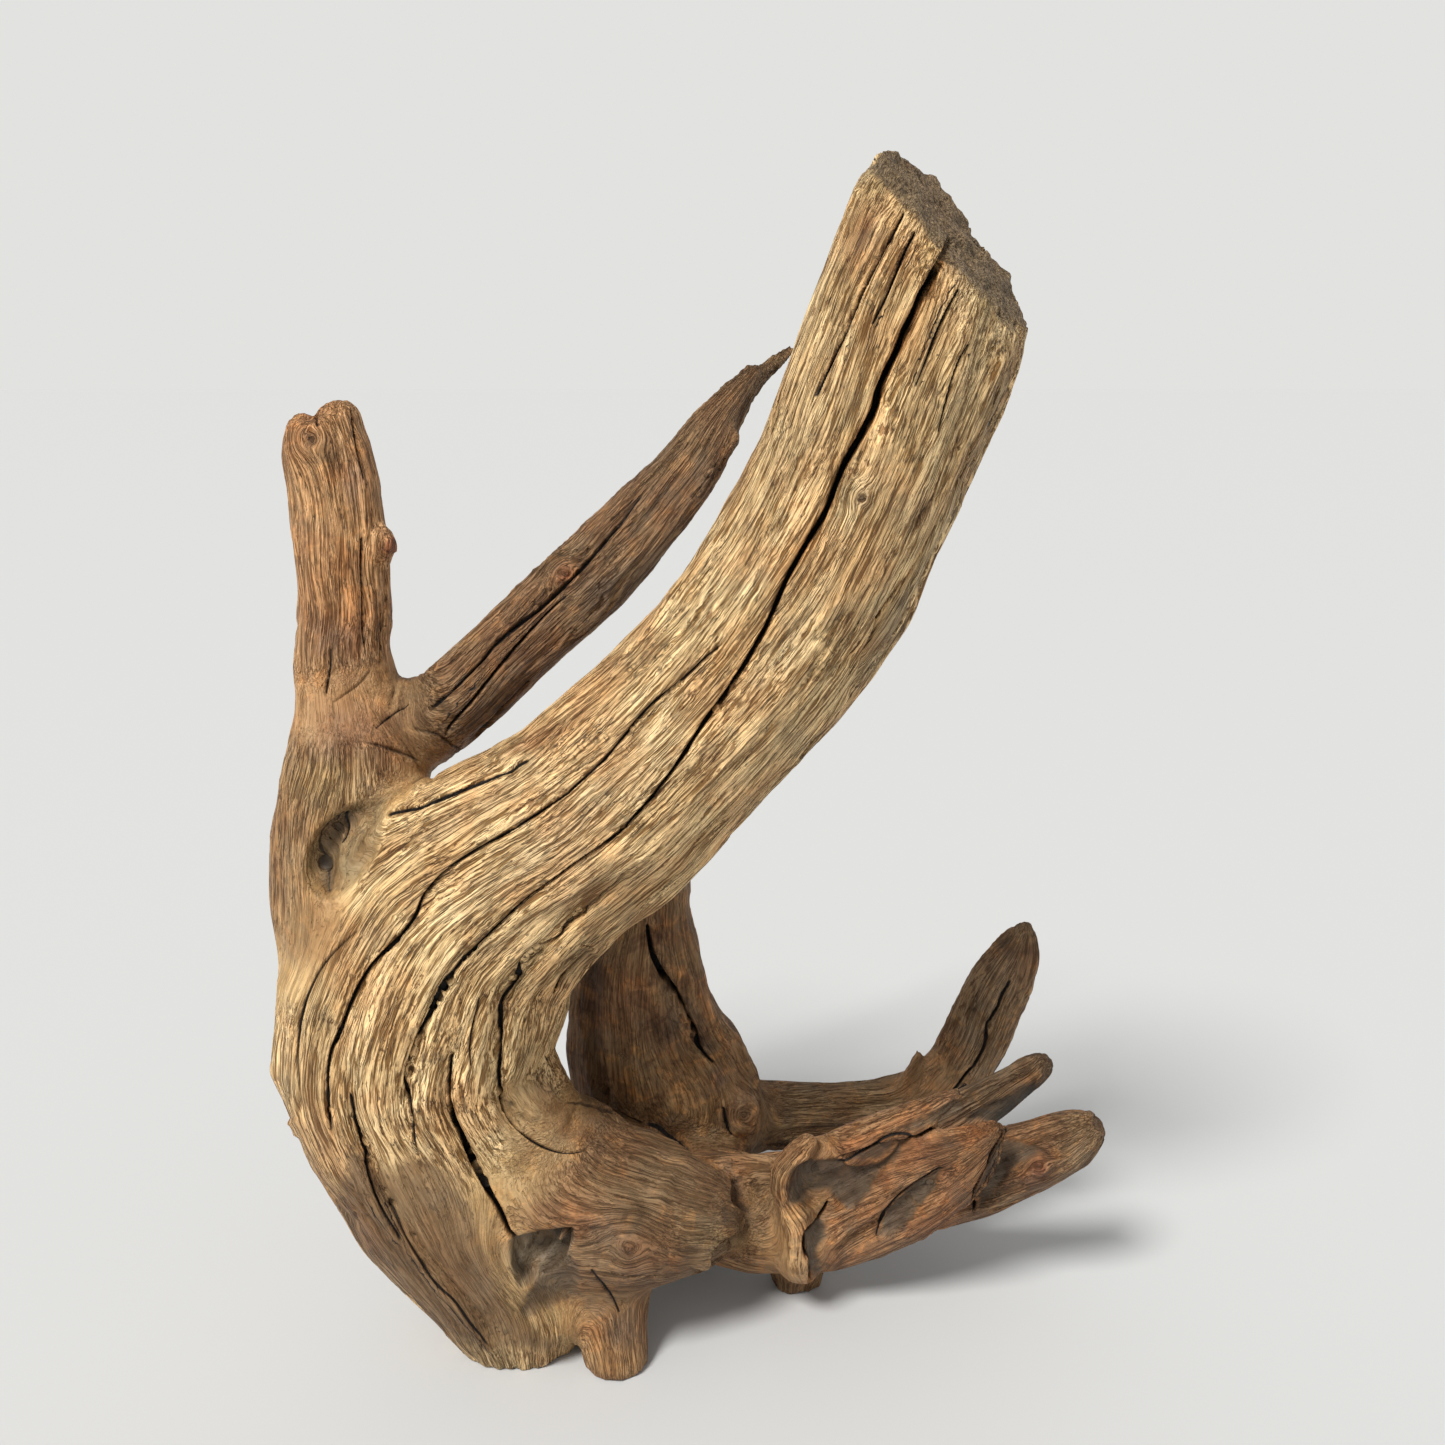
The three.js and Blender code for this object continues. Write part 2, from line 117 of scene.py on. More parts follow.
# What each limb's wood is like: colour, how deep its flutes and fine ridges are in millimetres,
# how calm and how mottled its face is, and the limb whose grain it carries on.
limbWood = {
    "trunk": {"colour": (0.75, 0.53, 0.245), "flute": 1.3, "ridge": 0.6, "calm": 0.0, "mottle": 0.15,
        "from": None},
    "shoulder": {"colour": (0.40, 0.25, 0.113), "flute": 1.6, "ridge": 0.6, "calm": 0.15, "mottle": 0.35,
        "from": "trunk"},
    "stub": {"colour": (0.60, 0.355, 0.157), "flute": 1.1, "ridge": 0.6, "calm": 0.1, "mottle": 0.4,
        "from": "shoulder"},
    "branch": {"colour": (0.25, 0.155, 0.072), "flute": 1.3, "ridge": 0.7, "calm": 0.15, "mottle": 0.5,
        "from": "trunk"},
    "rearRoot": {"colour": (0.235, 0.14, 0.062), "flute": 1.2, "ridge": 0.6, "calm": 0.55, "mottle": 0.9,
        "from": "trunk"},
    "burl": {"colour": (0.225, 0.137, 0.064), "flute": 1.2, "ridge": 0.5, "calm": 0.45, "mottle": 0.6,
        "from": "trunk"},
    "nub": {"colour": (0.36, 0.21, 0.088), "flute": 1.0, "ridge": 0.5, "calm": 0.3, "mottle": 0.4,
        "from": "burl"},
    "frontRoot": {"colour": (0.25, 0.138, 0.06), "flute": 1.6, "ridge": 0.7, "calm": 0.3, "mottle": 0.7,
        "from": "burl"},
    "armFoot": {"colour": (0.22, 0.135, 0.06), "flute": 0.8, "ridge": 0.5, "calm": 0.3, "mottle": 0.6,
        "from": "frontRoot"},
    "crownCurl": {"colour": (0.34, 0.19, 0.08), "flute": 0.8, "ridge": 0.5, "calm": 0.2, "mottle": 0.5,
        "from": "frontRoot"},
    "upperFlake": {"colour": (0.26, 0.145, 0.062), "flute": 0.8, "ridge": 0.6, "calm": 0.2,
        "mottle": 0.6, "from": "frontRoot"},
    "lowProng": {"colour": (0.22, 0.13, 0.06), "flute": 1.2, "ridge": 0.6, "calm": 0.25, "mottle": 0.8,
        "from": "frontRoot"},
    "middleProng": {"colour": (0.16, 0.105, 0.055), "flute": 0.9, "ridge": 0.5, "calm": 0.25,
        "mottle": 0.7, "from": "frontRoot"},
    "backArm": {"colour": (0.25, 0.16, 0.075), "flute": 1.2, "ridge": 0.6, "calm": 0.3, "mottle": 0.6,
        "from": "rearRoot"},
    "backProng": {"colour": (0.26, 0.17, 0.085), "flute": 1.0, "ridge": 0.6, "calm": 0.2, "mottle": 0.6,
        "from": "backArm"},
}
limbNames = list(limbLines)

# Where the wood is divided, as on the solids: a point, the way the cut faces, and its reach.
forkCuts = {
    "stubFork": {"at": (-185, 9, 362), "facing": (0, 0.08, 1), "reach": (34, 32)},
    "branchFork": {"at": (-122, 22, 354), "facing": (0.71, 0.18, 0.68), "reach": (28, 28)},
    "legFork": {"at": (-41, 29, 234), "facing": (-0.03, 0.35, -0.94), "reach": (33, 31)},
    "crownFork": {"at": (-30, 12, 70), "facing": (0.566, 0.825, 0), "reach": (105, 100)},
    "armsFork": {"at": (23, 48, 66), "facing": (1, 0, 0), "reach": (90, 90)},
    "lowProngFork": {"at": (142, 24, 72), "facing": (0.9, -0.19, 0.4), "reach": (50, 34)},
    "middleProngFork": {"at": (123, 61, 80), "facing": (0.84, 0, 0.53), "reach": (21, 16)},
}

# The pieces: a point well inside each one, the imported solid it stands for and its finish.
woodPieces = {
    "trunk_wood": {"inside": (16, -47, 383), "node": "trunk", "slot": "trunk_wood"},
    "upright_stub_wood": {"inside": (-184, 15, 430), "node": "upright_stub", "slot": "stub_wood"},
    "slender_branch_wood": {"inside": (-68, 35, 401), "node": "slender_branch", "slot": "branch_wood"},
    "rear_root_wood": {"inside": (-42, 45, 172), "node": "rear_root", "slot": "rear_root_wood"},
    "front_root_wood": {"inside": (50, 19, 55), "node": "front_root", "slot": "front_root_wood"},
    "low_prong_wood": {"inside": (171, 13, 94), "node": "low_prong", "slot": "front_root_wood"},
    "middle_prong_wood": {"inside": (162, 59, 108), "node": "middle_prong", "slot": "front_root_wood"},
    "back_root_wood": {"inside": (157, 94, 143), "node": "back_root", "slot": "back_root_wood"},
}

skinSet = {
    "firstCell": 0.0026,  # size of the first even skin, in metres
    "quickCells": 1.6,
    "evenRounds": 14,  # rounds that take out the solids' facets
    "evenPulls": (0.55, -0.57),  # in and out again, so that nothing shrinks
    "filletRounds": 26,  # rounds that fill the creases between limbs
    "filletPull": 0.8,
    "limbBlend": 4.0,  # how far limbs run into each other, in millimetres
    "lineBlend": 7.0,  # how far a limb's directions are evened along it, in millimetres
    "seamFill": 0.00025,  # closes the saw gaps before the skin is drawn
    "forkBand": 0.006,  # how far from a fork's cut the skin is searched, in metres
    "forkReach": 1.12,  # how much wider than the limb a fork's cut is
    "mostTriangles": 195000,  # in one piece
}

# Cracks, grooves and folds seen from the front: a line in picture points, half widths in picture
# points and depths in millimetres from its first end to its last. Where the line runs down the
# picture, its lip, in millimetres, lifts the wood on its left and sinks the wood on its right. The
# gap shade says how dark the painted shade in the gap is, and "on" names the limbs that carry it.
frontCracks = {
    "longCheck": {"on": ("trunk",), "half": (4.5, 4.4, 3.8, 3.0, 2.4, 1.5, 1.1, 1.0, 1.2, 1.1),
        "lip": 0.6, "depth": (13, 15, 14, 10, 7, 5, 4, 4, 4, 2),
        "line": [(950, 240), (941, 261), (918, 303), (900, 342), (881, 385), (873, 413), (856, 445),
        (839, 473), (825, 511), (806, 543), (783, 587), (760, 639), (721, 700), (667, 777), (641, 810),
        (611, 839), (557, 877), (520, 906), (480, 942), (458, 965), (434, 1003), (414, 1049),
        (406, 1078), (411, 1106), (415, 1141), (422, 1175)]},
    "upperFold": {"on": ("trunk",), "gapShade": (0.3, 0.9, 1, 1, 1, 1, 0.8),
        "half": (0.8, 1.0, 1.1, 1.2, 1.3, 1.0), "depth": (2, 3, 4, 4, 5, 3), "lip": 0.8,
        "line": [(740, 625), (690, 672), (651, 705), (625, 735), (598, 764), (568, 791), (539, 812),
        (504, 834), (476, 850), (446, 871), (425, 895), (413, 918), (392, 944), (368, 970), (351, 1003),
        (330, 1057), (326, 1095), (330, 1129), (336, 1149)]},
    "innerFold": {"on": ("trunk", "burl"), "half": (0.6, 0.7, 0.9, 1.4, 1.3, 0.9),
        "depth": (2, 3, 4, 5, 4, 2), "lip": 1.3, "gapShade": (0.2, 0.3, 0.5, 1, 1, 1, 0.8),
        "line": [(667, 842), (632, 868), (606, 893), (568, 922), (558, 936), (528, 953), (515, 976),
        (501, 1003), (499, 1032), (498, 1067), (501, 1098), (514, 1125), (542, 1146), (570, 1153),
        (594, 1148)]},
    "innerSlit": {"on": ("trunk", "burl"), "half": (1.0, 2.6, 1.6), "depth": (3, 6, 3), "lip": 0.3,
        "line": [(570, 974), (561, 984), (553, 997)]},
    "innerLedge": {"on": ("trunk", "burl"), "gapShade": (0.4,), "half": (0.8, 1.2, 0.8), "depth": (1, 2, 1),
        "lip": -0.9,
        "line": [(558, 966), (564, 954), (580, 945), (597, 950), (608, 944)]},
    "innerCrease": {"on": ("trunk", "burl"), "gapShade": (0.5,), "half": (0.8, 1.2, 0.8), "depth": (1, 2, 1),
        "lip": 0.4,
        "line": [(547, 1056), (551, 1063), (557, 1071)]},
    "shortFold": {"on": ("trunk", "burl"), "half": (0.8, 1.1, 0.8), "depth": (1, 3, 1), "lip": 0.6,
        "line": [(480, 997), (471, 1037), (470, 1066)]},
    "knotholeCheck": {"on": ("trunk", "burl"), "half": (0.9, 1.6, 2.2, 2.0, 2.0),
        "depth": (3, 6, 8, 7, 6), "lip": 1.0,
        "line": [(451, 1052), (449, 1101), (462, 1141), (480, 1175), (497, 1207), (508, 1230),
        (520, 1244)]},
    "toeFold": {"on": ("trunk", "burl"), "gapShade": (0.8,), "half": (0.9, 1.3, 1.3, 0.9),
        "depth": (2, 4, 3, 2), "lip": 1.0,
        "line": [(350, 1089), (356, 1123), (365, 1152), (371, 1181), (382, 1210), (402, 1244)]},
    "undersideFold": {"on": ("trunk", "burl"), "gapShade": (0.5, 0.6, 0.5), "half": (0.9, 1.2, 1.2, 0.9),
        "depth": (1, 2, 2, 1), "lip": -2.2,
        "line": [(350, 1180), (366, 1206), (390, 1242), (418, 1276), (440, 1302), (460, 1323),
        (493, 1360)]},
    "leftFold": {"on": ("trunk", "shoulder"), "gapShade": (0.3, 0.6, 0.3), "half": (0.7, 1.0, 0.8),
        "depth": (1, 2, 1), "lip": 0.6,
        "line": [(362, 925), (330, 955), (310, 985), (298, 1020), (295, 1060), (300, 1120)]},
    "topCheckA": {"on": ("trunk",), "half": (1.2, 1.5, 1.0), "depth": (3, 4, 2), "lip": 0.4,
        "line": [(905, 207), (885, 242), (872, 268), (859, 296), (844, 331), (829, 361), (814, 401)]},
    "topCheckB": {"on": ("trunk",), "half": (1.2, 1.4, 0.8), "depth": (3, 4, 1), "lip": 0.3,
        "line": [(915, 229), (902, 253), (887, 292), (870, 326)]},
    "topCheckC": {"on": ("trunk",), "half": (1.2, 1.4, 0.8), "depth": (2, 3, 1), "lip": 0.3,
        "line": [(959, 287), (941, 324), (928, 357), (915, 389)]},
    "topCheckD": {"on": ("trunk",), "half": (1.0, 1.2, 0.8), "depth": (2, 3, 1), "lip": 0.3,
        "line": [(970, 342), (959, 363), (948, 396), (937, 433)]},
    "sideFold": {"on": ("trunk",), "half": (1.0, 1.6, 1.8, 1.6, 1.0), "depth": (2, 3, 4, 4, 2),
        "lip": 0.9,
        "line": [(1000, 383), (989, 415), (972, 450), (964, 473), (947, 506), (931, 539), (906, 579),
        (881, 615), (873, 635), (852, 672), (836, 702)]},
    "outerLine": {"on": ("trunk",), "half": (1.2, 1.6, 1.0), "depth": (2, 3, 1), "lip": 0.4,
        "line": [(1028, 346), (1015, 381), (989, 426)]},
    "eyeGroove": {"on": ("trunk", "shoulder"), "gapShade": (0.6,), "half": (1.0, 1.2, 0.8),
        "depth": (2, 3, 1), "lip": -1.1,
        "line": [(386, 820), (393, 812), (417, 808), (437, 800), (462, 789), (489, 778), (517, 764),
        (532, 756)]},
    "plugCheck": {"on": ("shoulder", "trunk"), "gapShade": (0.45,), "half": (0.5, 0.6, 0.6, 0.5),
        "depth": (1, 1.4, 1.4, 1), "lip": 0,
        "line": [(342, 815), (329, 831), (323, 845), (322, 864), (323, 882), (326, 894)]},
    "leftStep": {"on": ("trunk",), "gapShade": (0.5, 0.6), "half": (0.8, 1.1, 1.1, 0.8), "depth": (1, 1.4, 1),
        "lip": 0.9,
        "line": [(386, 1192), (406, 1238), (432, 1278), (455, 1301), (472, 1324), (492, 1349)]},
    "plugSplit": {"on": ("shoulder", "trunk"), "half": (0.8, 1.0, 0.8), "depth": (1, 2, 1), "lip": 0,
        "line": [(346, 815), (342, 833), (335, 842)]},
    "shoulderGroove": {"on": ("shoulder", "branch", "trunk"), "gapShade": (0.35,), "half": (1.2, 2.0, 1.2),
        "depth": (1, 1.6, 1), "lip": 0.5,
        "line": [(364, 742), (386, 747), (407, 756), (420, 762)]},
    "shoulderSplit": {"on": ("shoulder", "branch"), "gapShade": (0.5,), "half": (0.8, 1.1, 0.8),
        "depth": (1, 2, 1), "lip": 0.3,
        "line": [(375, 729), (389, 718), (411, 704)]},
    "shoulderCheck": {"on": ("shoulder", "stub"), "gapShade": (0.5,), "half": (0.8, 1.2, 0.8),
        "depth": (1, 3, 1), "lip": 0.3,
        "line": [(329, 647), (328, 669), (325, 696)]},
    "shoulderCrease": {"on": ("shoulder", "stub"), "gapShade": (0.25,), "half": (0.7, 0.9, 0.7),
        "depth": (1, 1.5, 1), "lip": 0.3,
        "line": [(371, 669), (364, 678), (357, 685), (331, 704)]},
    "stubLongCheck": {"on": ("stub", "shoulder"), "gapShade": (0.85,), "half": (0.8, 1.4, 1.4, 0.8),
        "depth": (2, 4, 4, 2), "lip": 0.5,
        "line": [(362, 534), (362, 583), (363, 621), (366, 647)]},
    "stubEdgeCheck": {"on": ("stub", "shoulder"), "gapShade": (0.7,), "half": (0.8, 1.4, 0.8),
        "depth": (2, 3, 2), "lip": 0.4,
        "line": [(381, 612), (382, 640), (381, 664)]},
    "stubTopCheck": {"on": ("stub",), "gapShade": (0.55,), "half": (0.8, 1.2, 0.8), "depth": (2, 3, 1),
        "lip": 0.3,
        "line": [(351, 406), (358, 451), (364, 482)]},
    "stubNotch": {"on": ("stub",), "half": (2.6, 1.8, 0.8), "depth": (6, 4, 1), "lip": 0,
        "line": [(316, 404), (316, 419), (318, 428)]},
    "branchGrooveA": {"on": ("branch",), "gapShade": (0.75,), "half": (2.4, 2.8, 2.4, 1.2),
        "depth": (2, 3, 3, 1), "lip": 0.8,
        "line": [(426, 713), (453, 687), (477, 664), (498, 640), (543, 604), (592, 558), (647, 489)]},
    "branchGrooveB": {"on": ("branch", "trunk"), "half": (1.2, 1.8, 1.8, 1.0), "depth": (3, 5, 5, 2),
        "lip": 0.8,
        "line": [(446, 735), (458, 718), (480, 693), (498, 669), (520, 644), (540, 622), (565, 597)]},
    "branchGrooveC": {"on": ("branch", "trunk"), "half": (1.2, 2.0, 1.2), "depth": (2, 4, 2), "lip": 0.5,
        "line": [(467, 749), (480, 735), (504, 709), (532, 680)]},
    "branchCrease": {"on": ("branch", "trunk"), "gapShade": (0.35,), "half": (0.8, 1.4, 1.0),
        "depth": (1, 2, 1), "lip": 0.6,
        "line": [(413, 729), (437, 735), (453, 747), (467, 754), (475, 755)]},
    "legCheck": {"on": ("rearRoot",), "half": (1.8, 2.6, 2.8, 2.2, 1.2), "depth": (6, 8, 8, 6, 3),
        "lip": -1.0,
        "line": [(647, 925), (652, 950), (662, 974), (680, 998), (693, 1025), (700, 1046), (718, 1067)]},
    "burlLedge": {"on": ("burl", "frontRoot", "rearRoot", "crownCurl"),
        "half": (0.9, 1.2, 1.5, 1.4, 1.0), "lip": 2.8, "depth": (1, 2, 3, 2),
        "gapShade": (0.7, 0.6, 1, 0.9, 0.5),
        "line": [(640, 1122), (658, 1128), (673, 1140), (694, 1158), (700, 1164), (727, 1176),
        (730, 1183), (730, 1200), (742, 1212), (745, 1224), (733, 1236), (715, 1248), (709, 1266),
        (688, 1269)]},
    "burlTopLine": {"on": ("burl", "rearRoot", "trunk"), "gapShade": (0.4,), "half": (0.8, 1.2, 0.8),
        "depth": (1, 2, 1), "lip": -0.8,
        "line": [(566, 1101), (597, 1106), (628, 1117), (645, 1124)]},
    "crownScar": {"on": ("rearRoot", "frontRoot", "burl"), "gapShade": (0.7,), "half": (1.2, 2.0, 1.0),
        "depth": (1, 3, 1), "lip": -0.5,
        "line": [(724, 1107), (727, 1128), (733, 1137)]},
    "armCrevice": {"on": ("frontRoot", "crownCurl"), "half": (1.6, 2.6, 2.4, 1.8), "depth": (4, 7, 6, 4),
        "lip": 0.8,
        "line": [(829, 1200), (817, 1221), (806, 1236), (805, 1254), (811, 1260), (809, 1287)]},
    "plateStep": {"on": ("frontRoot", "upperFlake", "lowProng"), "half": (1.2, 2.2, 1.4),
        "depth": (2, 5, 3), "lip": 1.0,
        "line": [(1006, 1125), (991, 1158), (988, 1167), (976, 1188), (973, 1215)]},
    "flakeLine": {"on": ("frontRoot", "upperFlake", "crownCurl"), "gapShade": (0.8,), "half": (1.0, 2.0, 1.6),
        "depth": (2, 4, 3), "lip": -1.2,
        "line": [(838, 1158), (880, 1144), (912, 1138), (950, 1118), (972, 1106)]},
    "channelEdge": {"on": ("frontRoot", "upperFlake"), "half": (1.0, 1.6, 1.0), "depth": (2, 4, 2),
        "lip": 1.2,
        "line": [(875, 1238), (879, 1221), (892, 1204), (909, 1189), (925, 1179), (944, 1168)]},
    "flakeEdge": {"on": ("frontRoot", "upperFlake"), "half": (0.8, 1.4, 1.0), "depth": (1, 3, 1),
        "lip": 1.0,
        "line": [(836, 1164), (851, 1161), (868, 1149), (884, 1138), (898, 1134), (914, 1136)]},
    "knotSplit": {"on": ("nub", "burl"), "half": (0.8, 1.2, 0.8), "depth": (1, 2, 1), "lip": 0.3,
        "line": [(590, 1270), (607, 1290), (621, 1314)]},
}

# Ridges and hollows seen from the front: a line in picture points, its half width in picture
# points, its height in millimetres and, where it has one, a colour and how far that covers; some of these
# colours are painted shade, as marked.
orangeWood, tanWood = (0.36, 0.175, 0.07), (0.4, 0.25, 0.11)
# greyWood is grey weathered wood; the second colour on this line is painted shade for the curl's groove
greyWood, grooveShade = (0.085, 0.066, 0.045), (0.04, 0.028, 0.018)
frontForms = {
    "bendRope": {"half": 20, "height": 2.0,
        "line": [(487, 886), (438, 937), (401, 987), (368, 1067), (368, 1135)]},
    # painted shade: the recess right of the long check is darkened in colour as well as sunk
    "shadedCheckRecess": {"half": 12, "height": -2.4, "colour": (0.24, 0.14, 0.055), "cover": 0.35,
        "line": [(630, 872), (582, 902), (516, 939), (469, 977), (450, 1005), (432, 1051)]},
    "knotRidge": {"half": 12, "height": 2.2,
        "line": [(465, 1047), (474, 1098), (497, 1145), (535, 1182)]},
    "toeRidge": {"half": 13, "height": 2.4,
        "line": [(480, 1204), (494, 1273), (514, 1318), (549, 1335), (583, 1325)]},
    "burlSwirl": {"half": 7, "height": 1.6,
        "line": [(693, 1160), (673, 1173), (662, 1191), (659, 1211), (666, 1235)]},
    "burlSwirlLeft": {"half": 8, "height": 1.4, "line": [(590, 1180), (607, 1201), (631, 1218)]},
    "burlHollow": {"half": 9, "height": -1.6, "line": [(636, 1178), (643, 1200), (650, 1224)]},
    "burlHollowLow": {"half": 9, "height": -1.4, "line": [(604, 1236), (628, 1262), (660, 1262)]},
    "legCrest": {"half": 5, "height": 1.6, "colour": (0.32, 0.17, 0.07), "cover": 0.6,
        "line": [(662, 962), (692, 981), (708, 1011), (721, 1037), (738, 1066)]},
    "legChannel": {"half": 6, "height": -1.6, "colour": greyWood, "cover": 0.6,
        "line": [(668, 980), (688, 1006), (700, 1036), (716, 1058)]},
    "mainRidge": {"half": 12, "height": 2.6, "colour": orangeWood, "cover": 0.75,
        "line": [(852, 1234), (874, 1209), (889, 1189), (914, 1159), (939, 1142), (979, 1130),
        (1004, 1125)]},
    "lowerStrip": {"half": 9, "height": 1.4, "colour": orangeWood, "cover": 0.6,
        "line": [(838, 1270), (870, 1248), (910, 1233), (964, 1215)]},
    "flakeTop": {"half": 6, "height": 1.0, "colour": orangeWood, "cover": 0.75,
        "line": [(838, 1150), (860, 1142), (895, 1124), (930, 1106), (961, 1092)]},
    "tongue": {"half": 11, "height": 1.6, "colour": tanWood, "cover": 0.75,
        "line": [(782, 1208), (787, 1220), (790, 1236), (792, 1259), (797, 1284)]},
    "tongueTip": {"half": 5, "height": 1.4, "colour": tanWood, "cover": 0.75,
        "line": [(793, 1222), (806, 1213), (825, 1198)]},
    "tongueOrange": {"half": 9, "height": 0.8, "colour": orangeWood, "cover": 0.75,
        "line": [(832, 1216), (835, 1232), (834, 1250), (828, 1266)]},
    "curlRidge": {"half": 4, "height": 2.0, "colour": tanWood, "cover": 0.7,
        "line": [(811, 1153), (796, 1162), (784, 1174), (780, 1186)]},
    # painted shade: the groove under the curl's ridge is painted near black
    "curlGroove": {"half": 4, "height": -2.2, "colour": grooveShade, "cover": 0.5,
        "line": [(818, 1160), (800, 1168), (792, 1182), (789, 1198)]},
    "sideKnob": {"half": 13, "height": 5.0, "line": [(282, 1118), (283, 1130), (286, 1142)]},
    # painted shadow: the shade thrown by the burl's raised wall, painted near black into the colour
    "burlWallShadow": {"half": 5, "height": -1.0, "colour": (0.06, 0.04, 0.025), "cover": 0.7,
        "line": [(735, 1172), (738, 1186), (740, 1203), (751, 1214)]},
    "eyePlug": {"half": 15, "height": 1.8, "colour": (0.30, 0.235, 0.135), "cover": 0.6,
        "line": [(368, 812), (358, 836), (350, 858), (340, 880)]},
    "holeSplinter": {"half": 3, "height": 2.0, "colour": (0.34, 0.29, 0.21), "cover": 0.75,
        "line": [(562, 1236), (548, 1254), (534, 1276)]},
    "holeSplinterLeft": {"half": 2.5, "height": 1.6, "colour": (0.28, 0.23, 0.16), "cover": 0.7,
        "line": [(540, 1240), (528, 1254), (520, 1272)]},
    "holeSplinterRight": {"half": 2.5, "height": 1.4, "colour": (0.2, 0.165, 0.12), "cover": 0.7,
        "line": [(572, 1244), (562, 1260), (548, 1276)]},
    "holeRim": {"half": 7, "height": 1.6, "line": [(500, 1232), (522, 1226), (550, 1222), (580, 1220)]},
    # painted shade: the trunk's right side, turned away from the light, is darkened in colour
    "shadedSideFace": {"half": 13, "height": -1.0, "colour": (0.15, 0.105, 0.06), "cover": 0.55,
        "line": [(1018, 400), (985, 465), (951, 535), (916, 598), (880, 655), (850, 700)]},
    # painted shade: the trunk's underside, facing down and away from the light, is darkened in colour
    "shadedUnderside": {"half": 16, "height": 0, "colour": (0.17, 0.095, 0.045), "cover": 0.55,
        "line": [(334, 1190), (372, 1250), (410, 1300), (450, 1345)]},
    "eyeBrow": {"half": 10, "height": 1.6, "line": [(330, 800), (360, 788), (392, 790), (430, 784)]},
    "knobCap": {"half": 9, "height": 1.2, "colour": (0.30, 0.1, 0.045), "cover": 0.6,
        "line": [(386, 538), (391, 545), (389, 552)]},
    "stubStrip": {"half": 4, "height": 0.3, "colour": orangeWood, "cover": 0.6,
        "line": [(354, 610), (357, 640), (358, 668)]},
}

